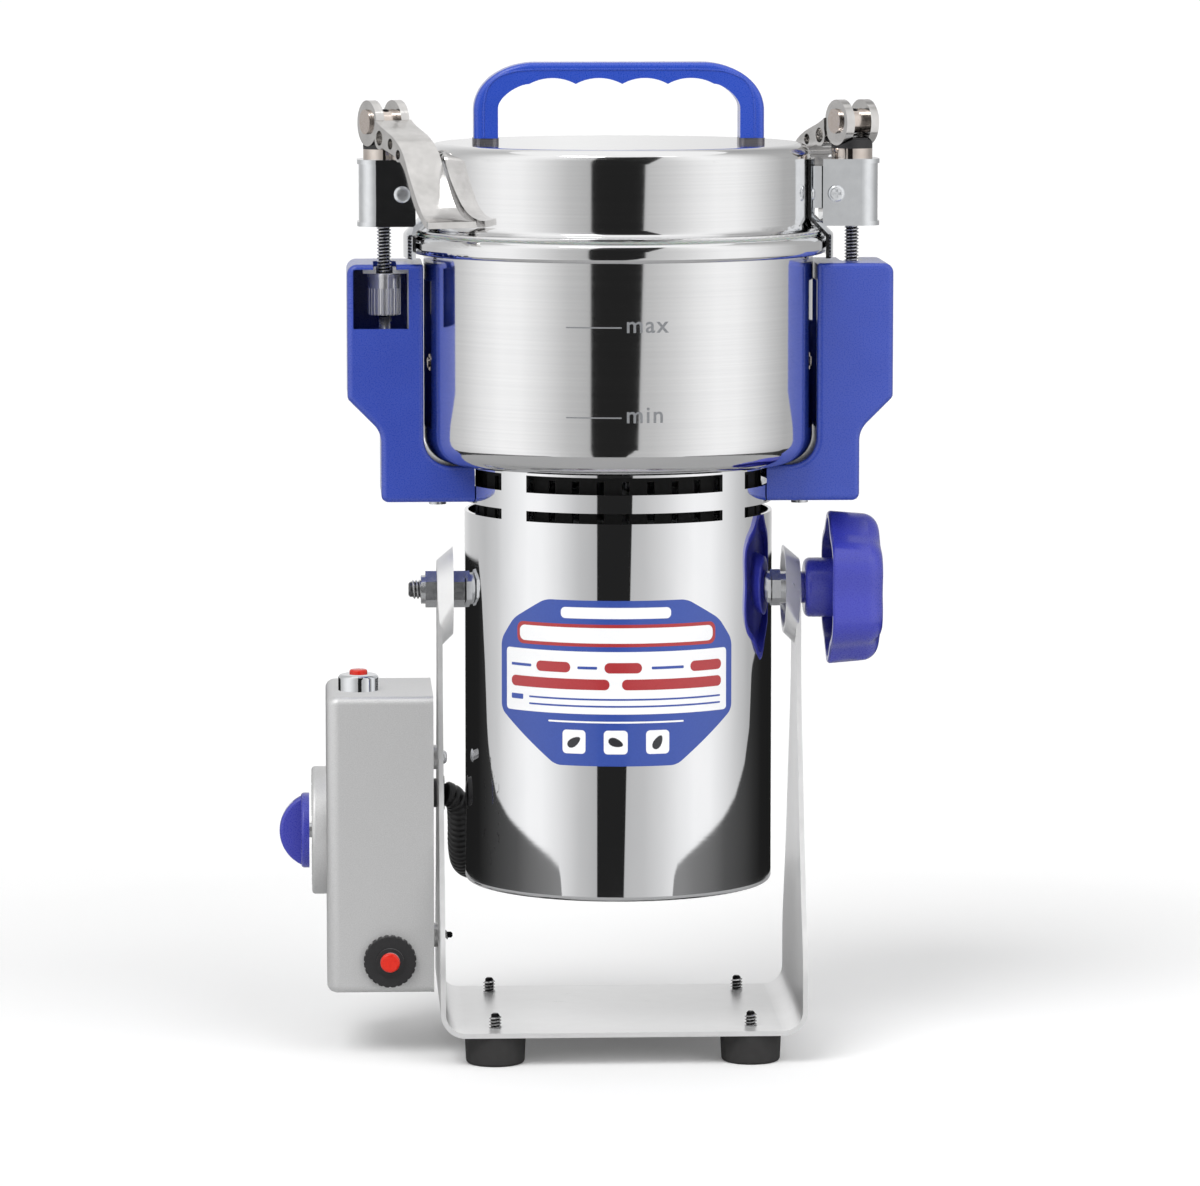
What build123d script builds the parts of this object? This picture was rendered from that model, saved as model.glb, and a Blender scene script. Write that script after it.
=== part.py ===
from build123d import *
from math import cos, radians, sin, sqrt
import os

# All sizes in millimetres. +Z is up, +X is right, the front faces -Y.
# The origin lies on the bench under the motor's axis.

# Stand: one strip of sheet steel bent into a U, with dished ears at its top
SHEET = 2.0
FOOT_HEIGHT = 12.2
PLATE_TOP = FOOT_HEIGHT + SHEET
LEG_OUTER_X = 74.3
LEG_INNER_X = LEG_OUTER_X - SHEET
PLATE_HALF_DEPTH = 53.0
BEND_RADIUS = 10.0
PIVOT_Z = 189.0
EAR_RADIUS = 12.0
EAR_SLOT_LENGTH = 13.0
EAR_RIM_RADIUS = 17.5
EAR_RIM_X = 67.8
PIVOT_HOLE_RADIUS = 4.08
PIVOT_STUD_RADIUS = 4.0
LEG_SHOULDER_Z = 35.0
LEG_NECK_HALF_WIDTH = 13.7
LEG_NECK_Z = 158.0
LEG_WAIST = [(48.0, 53.0), (35.0, 84.0), (21.5, 126.0)]

# Feet
FOOT_X = 52.0
FOOT_Y = 40.0
FOOT_RADIUS = 12.5
FOOT_SCREW_RADIUS = 2.5
FOOT_SCREW_STANDS_OUT = 6.0

# Control box on the left leg
CASE_FRONT_X = -120.0
CASE_BACK_X = -76.5
CASE_HALF_DEPTH = 31.0
CASE_BOTTOM_Z = 27.0
CASE_TOP_Z = 148.8
CASE_WALL = 1.2
CASE_SIDE_RADIUS = 5.0
CASE_END_RADIUS = 3.5
TIMER_Z = 89.7
DIAL_RADIUS = 26.2
DIAL_FACE_X = -126.0
TIMER_SHAFT_RADIUS = 3.0
RUNNING_GAP = 0.08
TIMER_KNOB_RADIUS = 15.4
TIMER_KNOB_TIP_X = -139.2
TIMER_SHAFT_END_X = -133.0
POWER_X = -106.6
POWER_Y = -8.0
BEZEL_RADIUS = 8.25
POWER_BUTTON_RADIUS = 3.65
POWER_BUTTON_TOP_Z = 157.2
BEZEL_TOP_Z = 155.3
BEZEL_NECK_RADIUS = 6.0
SWITCH_TOP_Z = 143.0
SWITCH_BOTTOM_Z = 120.0
RESET_X = -94.5
RESET_Z = 40.5
RESET_BUTTON_RADIUS = 4.0
RESET_NECK_RADIUS = 5.65
GLAND_X = -98.0
GLAND_Z = 45.0
GLAND_NECK_RADIUS = 6.0
GLAND_BORE = 3.5
CASE_SCREW_UPPER_Z = 119.6
CASE_SCREW_LOWER_Z = 45.6
CASE_SCREW_RADIUS = 2.0

# Conduit from the control box to the motor
CONDUIT_RADIUS = 5.0
CONDUIT_START = (-71.1, 18.0, 102.0)
CONDUIT_ROUTE = [
    (-65.5, 20.5, 100.0),
    (-64.5, 27.0, 90.0),
    (-64.5, 37.0, 76.0),
    (-62.5, 51.0, 66.0),
    (-55.0, 66.0, 62.5),
    (-44.0, 76.0, 66.0),
    (-32.5, 71.2, 75.8),
]
CONDUIT_END_AZIMUTH = 116.5
CONDUIT_END_Z = 80.0
CONDUIT_SEAT = 1.5
CONDUIT_BUSH_RADIUS = 6.0

# Motor housing
HOUSING_RADIUS = 62.9
HOUSING_WALL = 1.5
HOUSING_BORE = HOUSING_RADIUS - HOUSING_WALL
HOUSING_BOTTOM_Z = 69.2
HOUSING_TOP_Z = 242.0
SLOT_ROWS = [(221.9, 226.1), (233.5, 240.4)]
SLOT_RIB_WIDTH = 13.6
SHAFT_RADIUS = 6.0
SHAFT_TIP_RADIUS = 5.0
BEARING_RADIUS = 13.0
BEARING_BORE = 6.06
LOWER_BEARING_SPAN = (85.0, 95.0)
UPPER_BEARING_SPAN = (200.0, 210.0)
SHAFT_BOTTOM_Z = 82.0
SHAFT_SHOULDER_Z = 254.0
SHAFT_TOP_Z = 272.0
CORE_LOW_Z = 126.0
CORE_HIGH_Z = 172.0
CORE_BOLT_RADIUS = 2.5
CORE_BOLT_CIRCLE = 45.5
BRUSH_START = 14.4
BRUSH_END = 34.0
BRUSH_SPAN_X = (-4.0, 4.0)
BRUSH_SPAN_Z = (103.0, 109.0)

# Bowl and lid
BOWL_RADIUS = 79.3
BOWL_WALL = 1.5
BOWL_BORE = BOWL_RADIUS - BOWL_WALL
BOWL_CORNER_RADIUS = 11.0
BAND_RADIUS = 85.3
BAND_BOTTOM_Z = 327.0
BOWL_TOP_Z = 335.0
GASKET_LIP = 0.6
LID_WALL_RADIUS = 78.3
LID_SHEET = 1.2
BRIM_RADIUS = 83.4
BRIM_BOTTOM_Z = BOWL_TOP_Z + GASKET_LIP
LID_TOP_Z = 371.4
BLADE_SHEET = 2.5
LOWER_BLADE_Z = 254.0
UPPER_BLADE_Z = 262.0

# Lid handle
HANDLE_LEG_X = 54.0
HANDLE_LEG_WIDTH = 9.8
HANDLE_BOTTOM_Z = 373.4
HANDLE_TOP_Z = 404.0
HANDLE_DEPTH = 16.0
HANDLE_SHOULDER_X = 34.0
HANDLE_SHOULDER_Z = 384.5
GRIP_CUSPS = [-36.5, -17.6, 1.2, 19.7, 38.5]
GRIP_CUSP_THICKNESS = 8.7
GRIP_VALLEY_THICKNESS = 6.3

# Side covers and the steel arms inside them, given for the right-hand side
COVER_INNER_X = 79.8
COVER_OUTER_X = 110.6
COVER_NECK_X = 97.1
COVER_TOP_Z = 323.3
COVER_BOTTOM_Z = 226.9
COVER_FOOT_TOP_Z = 241.5
COVER_SWELL_Z = 269.0
COVER_NECK_Z = 255.5
COVER_HALF_DEPTH = 22.0
COVER_WALL = 2.5
COVER_TOP_WALL = 2.0
WINDOW_INNER_X = 85.7
WINDOW_BOTTOM_Z = 297.3
ROD_SLOT_WIDTH = 9.4
ARM_INNER_X = 83.5
ARM_THICKNESS = 2.5
ARM_HALF_DEPTH = 9.0
ARM_FOOT_Z = 232.0
ARM_TAB_BOTTOM_Z = 318.9
ARM_TAB_TOP_Z = 321.2
ARM_TAB_END_X = 104.0
ARM_SCREW_RADIUS = 2.0
ARM_SCREW_PLACES = [(74.0, -5.0), (74.0, 5.0)]

# Latches, given for the right-hand side
LATCH_X = 95.3
ROD_RADIUS = 3.0
ROD_HOLE_RADIUS = 3.4
TONGUE_HALF_WIDTH = 2.25
TONGUE_TOP_Z = 301.0
PIN_RADIUS = 2.0
PIN_Z = 282.0
NUT_BOTTOM_Z = 301.6
NUT_TOP_Z = 318.7
NUT_RADIUS = 6.7
BOX_INNER_X = 82.6
BOX_OUTER_X = 105.5
BOX_HALF_DEPTH = 11.0
BOX_BOTTOM_Z = 337.9
BOX_TOP_Z = 364.9
BOX_END_THICKNESS = 1.8
LATCH_SCREW_RADIUS = 1.5
LATCH_SCREW_PLACE = (88.0, 351.0)
COLLAR_RADIUS = 8.35
COLLAR_TOP_Z = 369.0
BARREL_Z = 380.0
BARREL_RADIUS = 5.0
BARREL_LENGTH = 17.0
CAM_OFFSET = 0.6
EAR_CAM_RADIUS = 9.3
LEVER_GAP = 7.6
LEVER_WIDTH = 16.0
CAM_EAR_THICKNESS = 3.6
LEVER_AZIMUTH = 114.0
LEVER_TOP_EDGE = [
    (9.2, 381.0), (13.0, 379.2), (23.0, 375.9), (32.5, 371.2), (36.3, 367.7),
    (41.0, 360.7), (46.0, 354.0), (51.5, 347.4), (58.0, 343.4), (64.5, 342.4),
]
LEVER_BOTTOM_EDGE = [
    (65.0, 339.9), (57.0, 340.6), (49.2, 345.0), (42.5, 353.4), (36.3, 362.4),
    (32.0, 365.4), (26.0, 367.6),
]

# Holes and bosses of the lever's web: x, z, hole radius, boss radius
LEVER_HOLES = [(13.1, 373.9, 3.0, 4.6), (23.6, 371.9, 2.2, 3.6), (31.0, 367.9, 1.95, 3.0)]
SADDLE_RADIUS = 78.6
SADDLE_SHEET = 1.4
SADDLE_HALF_ANGLE = 16.0

# Pivot hardware
STUD_END_X = -85.9
NUT_ACROSS_FLATS = 13.0
SPACER_RADIUS = 6.5
EAR_GAP = 0.1

# Star knob
STAR_LOBES = 6
STAR_PEAK_RADIUS = 31.6
STAR_VALLEY_RADIUS = 28.0
STAR_REAR_X = 86.0
STAR_FRONT_X = 107.0
STAR_HUB_X = 76.2
STAR_HUB_RADIUS = 12.2
STAR_DRAFT = 1.8
STAR_REAR_CHAMFER = 0.8
STAR_FRONT_ROUNDING = 6.5
STUD_IN_KNOB_X = 100.0


def rod_x(radius, x_from, x_to, y, z):
    middle = (x_from + x_to) / 2
    return Pos(middle, y, z) * Rot(0, 90, 0) * Cylinder(radius, abs(x_to - x_from))


def rod_y(radius, y_from, y_to, x, z):
    middle = (y_from + y_to) / 2
    return Pos(x, middle, z) * Rot(90, 0, 0) * Cylinder(radius, abs(y_to - y_from))


def rod_z(radius, z_from, z_to, x=0.0, y=0.0):
    middle = (z_from + z_to) / 2
    return Pos(x, y, middle) * Cylinder(radius, abs(z_to - z_from))


def tube_z(radius, bore, z_from, z_to, x=0.0, y=0.0):
    return rod_z(radius, z_from, z_to, x, y) - rod_z(bore, z_from, z_to, x, y)


def block(x_span, y_span, z_span):
    spans = [x_span, y_span, z_span]
    middle = [(low + high) / 2 for low, high in spans]
    size = [abs(high - low) for low, high in spans]
    return Pos(*middle) * Box(*size)


def hex_x(across_flats, x_from, x_to, z):
    outline = RegularPolygon(across_flats / 2, 6, major_radius=False)
    return Pos(x_from, 0, z) * Rot(0, 90, 0) * extrude(outline, x_to - x_from)


def rounded_face(points, rounding):
    """Flat face inside a closed outline; rounding maps a point's index to its corner radius."""
    radii = [rounding.get(index, 0) for index in range(len(points))]
    return make_face(FilletPolyline(*points, radius=radii, close=True))


def turned(points, rounding=None):
    """Solid turned about Z from an outline of (radius, height) points."""
    return revolve(Plane.XZ * rounded_face(points, rounding or {}), Axis.Z)


def around(shape, count, start=0.0):
    """Copies of a shape spaced evenly about Z."""
    return [Rot(0, 0, start + index * 360 / count) * shape for index in range(count)]


def opposite(shape):
    """The same shape on the other side: half a turn about Z."""
    return Rot(0, 0, 180) * shape


def both_sides(shape):
    return group([shape, opposite(shape)])


def group(solids):
    return Compound(children=list(solids))


def save(node, shape):
    export_step(shape, f"parts/{node}.step")


# ---- Stand ----

def leg_outline():
    """Front-to-back outline of the strip: wide at the base, waisted, and round at the ear."""
    shoulder = (PLATE_HALF_DEPTH, LEG_SHOULDER_Z)
    neck = (LEG_NECK_HALF_WIDTH, LEG_NECK_Z)
    ear = (EAR_RADIUS, PIVOT_Z)
    waist = Spline(shoulder, *LEG_WAIST, neck, tangents=[(0, 1), (-0.1, 1)])
    right = [
        Line((PLATE_HALF_DEPTH, 0), shoulder),
        waist,
        Line(neck, ear),
    ]
    left = [mirror(edge, about=Plane.YZ) for edge in right]
    top = ThreePointArc(ear, (0, PIVOT_Z + EAR_RADIUS), (-EAR_RADIUS, PIVOT_Z))
    base = Line((-PLATE_HALF_DEPTH, 0), (PLATE_HALF_DEPTH, 0))
    return make_face([edge for line in [*right, top, *left, base] for edge in line.edges()])


def ear_dish(inset):
    """Loft from the flat slot at the leg's outer face to the round rim that faces the motor."""
    seat_x = LEG_OUTER_X - inset
    rim_x = EAR_RIM_X if inset == 0 else EAR_RIM_X - 0.01
    upright = (0, 0, 1)
    across = (1, 0, 0)
    seat_plane = Plane((seat_x, 0, PIVOT_Z - EAR_SLOT_LENGTH / 2), x_dir=upright, z_dir=across)
    rim_plane = Plane((rim_x, 0, PIVOT_Z - 0.5), x_dir=upright, z_dir=across)
    seat = seat_plane * SlotCenterToCenter(EAR_SLOT_LENGTH, 2 * (EAR_RADIUS - inset))
    rim = rim_plane * SlotCenterToCenter(1.0, 2 * (EAR_RIM_RADIUS - inset))
    return loft([rim, seat], ruled=True)


def stand_yoke():
    outside = block(
        (-LEG_OUTER_X, LEG_OUTER_X),
        (-PLATE_HALF_DEPTH, PLATE_HALF_DEPTH),
        (FOOT_HEIGHT, PIVOT_Z + 2 * EAR_RADIUS),
    )
    outside = fillet(outside.edges().filter_by(Axis.Y).group_by(Axis.Z)[0], BEND_RADIUS)
    inside = block(
        (-LEG_INNER_X, LEG_INNER_X),
        (-PLATE_HALF_DEPTH - 1, PLATE_HALF_DEPTH + 1),
        (PLATE_TOP, PIVOT_Z + 3 * EAR_RADIUS),
    )
    inside = fillet(inside.edges().filter_by(Axis.Y).group_by(Axis.Z)[0], BEND_RADIUS - SHEET)
    strip = outside - inside
    cutter = extrude(Plane.YZ * leg_outline(), LEG_OUTER_X + 1, both=True)
    yoke = strip & cutter
    dish = ear_dish(0)
    hollow = ear_dish(SHEET)
    for shape in (dish, opposite(dish)):
        yoke += shape
    for shape in (hollow, opposite(hollow)):
        yoke -= shape
    yoke -= rod_x(PIVOT_HOLE_RADIUS, -LEG_OUTER_X - 1, LEG_OUTER_X + 1, 0, PIVOT_Z)
    for x, y in foot_places():
        yoke -= rod_z(FOOT_SCREW_RADIUS + 0.1, 0, PLATE_TOP + 1, x, y)
    leg = (-LEG_OUTER_X - 1, -LEG_INNER_X + 1)
    yoke -= rod_x(CONDUIT_BUSH_RADIUS, *leg, CONDUIT_START[1], CONDUIT_START[2])
    for z in (CASE_SCREW_UPPER_Z, CASE_SCREW_LOWER_Z):
        yoke -= rod_x(CASE_SCREW_RADIUS, *leg, 0, z)
    return yoke


def foot_places():
    return [(x, y) for x in (-FOOT_X, FOOT_X) for y in (-FOOT_Y, FOOT_Y)]


def foot_screw():
    """Screw moulded into a foot by a round plate, with its threaded end above the stand."""
    plate_radius = 7.0
    plate = rod_z(plate_radius, 3.0, 5.0)
    return plate + rod_z(FOOT_SCREW_RADIUS, 4.0, PLATE_TOP + FOOT_SCREW_STANDS_OUT)


def rubber_foot():
    bottom_radius = FOOT_RADIUS - 0.6
    outline = [(0, 0), (bottom_radius, 0), (FOOT_RADIUS, FOOT_HEIGHT), (0, FOOT_HEIGHT)]
    return turned(outline, {1: 1.5}) - foot_screw()


# ---- Control box ----

def rounded_case(front_x, back_x, half_depth, bottom_z, top_z, side_radius, end_radius):
    case = block((front_x, back_x), (-half_depth, half_depth), (bottom_z, top_z))
    case = fillet(case.edges().filter_by(Axis.Z).group_by(Axis.X)[0], side_radius)
    rims = case.faces().sort_by(Axis.Z)[-1].edges() + case.faces().sort_by(Axis.Z)[0].edges()
    rims = [edge for edge in rims if edge.center().X < back_x - 1e-3]
    return fillet(rims, end_radius)


def control_box_shell():
    outside = rounded_case(
        CASE_FRONT_X, CASE_BACK_X - CASE_WALL, CASE_HALF_DEPTH, CASE_BOTTOM_Z, CASE_TOP_Z,
        CASE_SIDE_RADIUS, CASE_END_RADIUS,
    )
    inside = rounded_case(
        CASE_FRONT_X + CASE_WALL, CASE_BACK_X, CASE_HALF_DEPTH - CASE_WALL,
        CASE_BOTTOM_Z + CASE_WALL, CASE_TOP_Z - CASE_WALL,
        CASE_SIDE_RADIUS - CASE_WALL, CASE_END_RADIUS - CASE_WALL,
    )
    shell = outside - inside
    shell -= rod_x(TIMER_SHAFT_RADIUS + 1, CASE_FRONT_X - 1, CASE_FRONT_X + 2, 0, TIMER_Z)
    shell -= rod_z(BEZEL_NECK_RADIUS, CASE_TOP_Z - 2, CASE_TOP_Z + 1, POWER_X, POWER_Y)
    shell -= rod_y(RESET_NECK_RADIUS, -CASE_HALF_DEPTH - 1, -CASE_HALF_DEPTH + 2, RESET_X, RESET_Z)
    shell -= rod_y(GLAND_NECK_RADIUS, CASE_HALF_DEPTH - 2, CASE_HALF_DEPTH + 1, GLAND_X, GLAND_Z)
    return shell


def control_box_back_plate():
    """Flat plate that closes the box, with two bosses that stand it off the leg."""
    corner_radius = 3.0
    boss_radius = 5.0
    plate = block(
        (CASE_BACK_X - CASE_WALL, CASE_BACK_X),
        (-CASE_HALF_DEPTH, CASE_HALF_DEPTH),
        (CASE_BOTTOM_Z, CASE_TOP_Z),
    )
    plate = fillet(plate.edges().filter_by(Axis.X), corner_radius)
    for z in (CASE_SCREW_UPPER_Z, CASE_SCREW_LOWER_Z):
        plate += rod_x(boss_radius, CASE_BACK_X - CASE_WALL, -LEG_OUTER_X, 0, z)
        plate -= rod_x(CASE_SCREW_RADIUS, CASE_BACK_X - 2, -LEG_OUTER_X + 1, 0, z)
    y, z = CONDUIT_START[1:]
    return plate - rod_x(CONDUIT_BUSH_RADIUS, CASE_BACK_X - 2, CASE_BACK_X + 1, y, z)


def box_screws():
    """Upper screw with its dome head inside the leg, lower one with its threaded end there."""
    dome_radius = 2.8
    dome_height = 1.9
    shank_end_x = -82.0
    head_radius = 3.5
    thread_end_x = -LEG_INNER_X + 4.0
    dome = Rot(0, 90, 0) * turned(
        [(0, 0), (dome_radius, 0), (dome_radius, dome_height), (0, dome_height)], {2: 1.6}
    )
    upper = Pos(-LEG_INNER_X, 0, CASE_SCREW_UPPER_Z) * dome
    upper += rod_x(CASE_SCREW_RADIUS, shank_end_x, -LEG_INNER_X, 0, CASE_SCREW_UPPER_Z)
    lower = rod_x(CASE_SCREW_RADIUS, CASE_BACK_X - CASE_WALL, thread_end_x, 0, CASE_SCREW_LOWER_Z)
    head_x = CASE_BACK_X - CASE_WALL
    lower += rod_x(head_radius, head_x - 2.0, head_x, 0, CASE_SCREW_LOWER_Z)
    return group([upper, lower])


def timer_dial_plate():
    height = CASE_FRONT_X - DIAL_FACE_X
    bore = TIMER_SHAFT_RADIUS + RUNNING_GAP
    outline = [(bore, 0), (DIAL_RADIUS, 0), (DIAL_RADIUS, height), (bore, height)]
    return Pos(CASE_FRONT_X, 0, TIMER_Z) * Rot(0, -90, 0) * turned(outline, {2: 1.5})


def timer_body():
    """Clockwork timer behind the dial, with a blind bearing for its spindle."""
    radius = 22.0
    front_x = CASE_FRONT_X + CASE_WALL
    depth = 20.0
    bearing_depth = 8.0
    body = rod_x(radius, front_x, front_x + depth, 0, TIMER_Z)
    bore = TIMER_SHAFT_RADIUS + RUNNING_GAP
    return body - rod_x(bore, front_x - 1, front_x + bearing_depth, 0, TIMER_Z)


def timer_shaft():
    return rod_x(TIMER_SHAFT_RADIUS, TIMER_SHAFT_END_X, CASE_FRONT_X + 8.0, 0, TIMER_Z)


def timer_knob():
    """Round skirt with an upright half-moon grip."""
    skirt_back_x = DIAL_FACE_X - 1.0
    skirt_front_x = -130.3
    grip_thickness = 6.0
    skirt = Pos(skirt_back_x, 0, TIMER_Z) * Rot(0, -90, 0) * turned(
        [
            (0, 0),
            (TIMER_KNOB_RADIUS, 0),
            (TIMER_KNOB_RADIUS, skirt_back_x - skirt_front_x),
            (0, skirt_back_x - skirt_front_x),
        ],
        {2: 1.2},
    )
    root_x = skirt_back_x - 1.0
    top = (root_x, TIMER_Z + TIMER_KNOB_RADIUS - 0.4)
    bottom = (root_x, TIMER_Z - TIMER_KNOB_RADIUS + 0.4)
    moon = ThreePointArc(top, (TIMER_KNOB_TIP_X, TIMER_Z), bottom)
    face = make_face(moon.edges() + Line(bottom, top).edges())
    grip = extrude(Plane.XZ * face, grip_thickness / 2, both=True)
    crest = [edge for edge in grip.edges() if edge.center().X < root_x - 2]
    grip = fillet(crest, 1.4)
    return (skirt + grip) - timer_shaft()


def power_button_bezel():
    bore = POWER_BUTTON_RADIUS + RUNNING_GAP
    outline = [
        (bore, SWITCH_TOP_Z),
        (BEZEL_NECK_RADIUS, SWITCH_TOP_Z),
        (BEZEL_NECK_RADIUS, CASE_TOP_Z),
        (BEZEL_RADIUS, CASE_TOP_Z),
        (BEZEL_RADIUS, BEZEL_TOP_Z),
        (bore, BEZEL_TOP_Z),
    ]
    return Pos(POWER_X, POWER_Y, 0) * turned(outline, {4: 1.6, 5: 0.5})


def power_button():
    bottom_z = SWITCH_TOP_Z - 2.0
    outline = [
        (0, bottom_z),
        (POWER_BUTTON_RADIUS, bottom_z),
        (POWER_BUTTON_RADIUS, POWER_BUTTON_TOP_Z),
        (0, POWER_BUTTON_TOP_Z),
    ]
    return Pos(POWER_X, POWER_Y, 0) * turned(outline, {2: 0.8})


def power_switch_body():
    half = 7.5
    body = block(
        (POWER_X - half, POWER_X + half),
        (POWER_Y - half, POWER_Y + half),
        (SWITCH_BOTTOM_Z, SWITCH_TOP_Z),
    )
    bore = POWER_BUTTON_RADIUS + RUNNING_GAP
    return body - rod_z(bore, SWITCH_TOP_Z - 5.0, SWITCH_TOP_Z + 1.0, POWER_X, POWER_Y)


def breaker_body():
    """Overload breaker with a threaded neck that comes out through the front of the box."""
    wall_y = -CASE_HALF_DEPTH + CASE_WALL
    neck_end_y = -CASE_HALF_DEPTH - 4.0
    body = block(
        (RESET_X - 7.0, RESET_X + 7.0),
        (wall_y, wall_y + 24.0),
        (RESET_Z - 8.0, RESET_Z + 18.0),
    )
    body += rod_y(RESET_NECK_RADIUS, neck_end_y, wall_y, RESET_X, RESET_Z)
    bore = RESET_BUTTON_RADIUS + RUNNING_GAP
    return body - rod_y(bore, neck_end_y - 1, wall_y + 5.0, RESET_X, RESET_Z)


def reset_button():
    outer_y = -CASE_HALF_DEPTH - 5.9
    length = 8.0
    outline = [(0, 0), (RESET_BUTTON_RADIUS, 0), (RESET_BUTTON_RADIUS, length), (0, length)]
    return Pos(RESET_X, outer_y + length, RESET_Z) * Rot(90, 0, 0) * turned(outline, {2: 1.2})


def reset_ring_nut():
    """Scalloped black nut that holds the breaker."""
    radius = 10.7
    height = 3.0
    notches = 24
    notch_radius = 0.7
    outline = [
        (RESET_NECK_RADIUS, 0), (radius, 0), (radius, height), (RESET_NECK_RADIUS, height)
    ]
    nut = turned(outline, {2: 0.7})
    notch = Pos(radius + notch_radius / 3, 0, height / 2) * Cylinder(notch_radius, height + 1)
    for cutter in around(notch, notches):
        nut -= cutter
    return Pos(RESET_X, -CASE_HALF_DEPTH, RESET_Z) * Rot(90, 0, 0) * nut


def mains_cable_gland():
    """Screwed inlet for the mains lead, on the back of the box."""
    flats = RegularPolygon(8.0, 6, major_radius=False)
    outline = [
        (GLAND_BORE, -6.0), (GLAND_NECK_RADIUS, -6.0), (GLAND_NECK_RADIUS, 9.0),
        (GLAND_BORE + 1.2, 13.0), (GLAND_BORE, 13.0),
    ]
    gland = turned(outline) + (extrude(flats, 4.0) - Cylinder(GLAND_BORE, 20.0))
    return Pos(GLAND_X, CASE_HALF_DEPTH, GLAND_Z) * Rot(-90, 0, 0) * gland


# ---- Conduit ----

def conduit_bush():
    """Bush in the left leg that leads the conduit into the box."""
    y, z = CONDUIT_START[1:]
    bush = rod_x(CONDUIT_BUSH_RADIUS, -81.0, -LEG_INNER_X, y, z)
    bush += rod_x(CONDUIT_BUSH_RADIUS + 1, -LEG_INNER_X, CONDUIT_START[0], y, z)
    return bush - rod_x(4.0, -82.0, -LEG_INNER_X - 1.0, y, z)


def conduit_end():
    reach = HOUSING_RADIUS + CONDUIT_SEAT
    azimuth = radians(CONDUIT_END_AZIMUTH)
    return (reach * cos(azimuth), reach * sin(azimuth), CONDUIT_END_Z)


def conduit_radii(points):
    """Largest arc for each bend: 0.45 of the shorter run over the tangent of half the turn."""
    radii = []
    for before, here, after in zip(points, points[1:], points[2:]):
        run_in = Vector(*here) - Vector(*before)
        run_out = Vector(*after) - Vector(*here)
        half_turn = radians(run_in.get_angle(run_out)) / 2
        radii.append(0.45 * min(run_in.length, run_out.length) * cos(half_turn) / sin(half_turn))
    return radii


def lengthened(end, neighbour, extra):
    """The end point moved on, away from its neighbour."""
    outward = (Vector(*end) - Vector(*neighbour)).normalized()
    return tuple(Vector(*end) + outward * extra)


def motor_conduit():
    """Tube along the route, trimmed flush with the faces of its two glands."""
    trim = 4.0
    start = lengthened(CONDUIT_START, CONDUIT_ROUTE[0], trim)
    end = lengthened(conduit_end(), CONDUIT_ROUTE[-1], trim)
    radii = conduit_radii([CONDUIT_START, *CONDUIT_ROUTE, conduit_end()])
    points = [start, *CONDUIT_ROUTE, end]
    print("conduit bend radii:", [round(radius, 1) for radius in radii])
    path = FilletPolyline(*points, radius=radii)
    section = Plane(path @ 0, z_dir=path % 0) * Circle(CONDUIT_RADIUS)
    tube = sweep(section, path=path)
    expected = section.area * path.length
    print("conduit volume:", round(tube.volume), "of", round(expected))
    y, z = CONDUIT_START[1:]
    seat = HOUSING_RADIUS + CONDUIT_SEAT
    tube -= block((CONDUIT_START[0] - 20, CONDUIT_START[0]), (y - 12, y + 12), (z - 12, z + 12))
    inner = block((seat - 20, seat), (-12.0, 12.0), (CONDUIT_END_Z - 12, CONDUIT_END_Z + 12))
    return tube - Rot(0, 0, CONDUIT_END_AZIMUTH) * inner


def conduit_motor_gland():
    """Flanged gland on the housing where the conduit enters the motor."""
    flange_radius = 7.0
    neck_radius = 5.4
    gland = rod_x(flange_radius, HOUSING_RADIUS - 3.0, HOUSING_RADIUS + CONDUIT_SEAT, 0, 0)
    gland -= rod_z(HOUSING_RADIUS, -20.0, 20.0)
    gland += rod_x(neck_radius, HOUSING_BORE - 3.0, HOUSING_RADIUS + 0.5, 0, 0)
    return Rot(0, 0, CONDUIT_END_AZIMUTH) * Pos(0, 0, CONDUIT_END_Z) * gland


# ---- Motor ----

def motor_housing():
    lip_radius = 58.0
    outline = [
        (HOUSING_RADIUS, HOUSING_TOP_Z),
        (HOUSING_RADIUS, HOUSING_BOTTOM_Z),
        (lip_radius, HOUSING_BOTTOM_Z),
        (lip_radius, HOUSING_BOTTOM_Z + HOUSING_WALL),
        (HOUSING_BORE, HOUSING_BOTTOM_Z + HOUSING_WALL),
        (HOUSING_BORE, HOUSING_TOP_Z),
    ]
    housing = turned(outline, {1: 2.0})
    rib = block((40.0, 80.0), (-SLOT_RIB_WIDTH / 2, SLOT_RIB_WIDTH / 2), (200.0, HOUSING_TOP_Z))
    for low, high in SLOT_ROWS:
        ring = tube_z(HOUSING_RADIUS + 1, HOUSING_BORE - 1, low, high)
        for cutter in around(rib, 4, 45.0):
            ring -= cutter
        housing -= ring
    housing -= rod_x(PIVOT_HOLE_RADIUS, -HOUSING_RADIUS - 1, HOUSING_RADIUS + 1, 0, PIVOT_Z)
    neck = rod_x(5.4, HOUSING_BORE - 4.0, HOUSING_RADIUS + 1, 0, 0)
    return housing - Rot(0, 0, CONDUIT_END_AZIMUTH) * Pos(0, 0, CONDUIT_END_Z) * neck


def vent_baffle():
    """Slitted ring behind the vent slots."""
    outer = 58.4
    low = 219.0
    high = 240.4
    ring = tube_z(outer, outer - 1.2, low, high)
    slit = block((outer - 3, outer + 1), (-1.5, 1.5), (low + 2, high - 2))
    for cutter in around(slit, 36):
        ring -= cutter
    return ring


def bowl_base_plate():
    """Disc in the top of the housing that carries the bowl."""
    return tube_z(HOUSING_BORE, BEARING_RADIUS, 240.4, HOUSING_TOP_Z)


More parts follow.
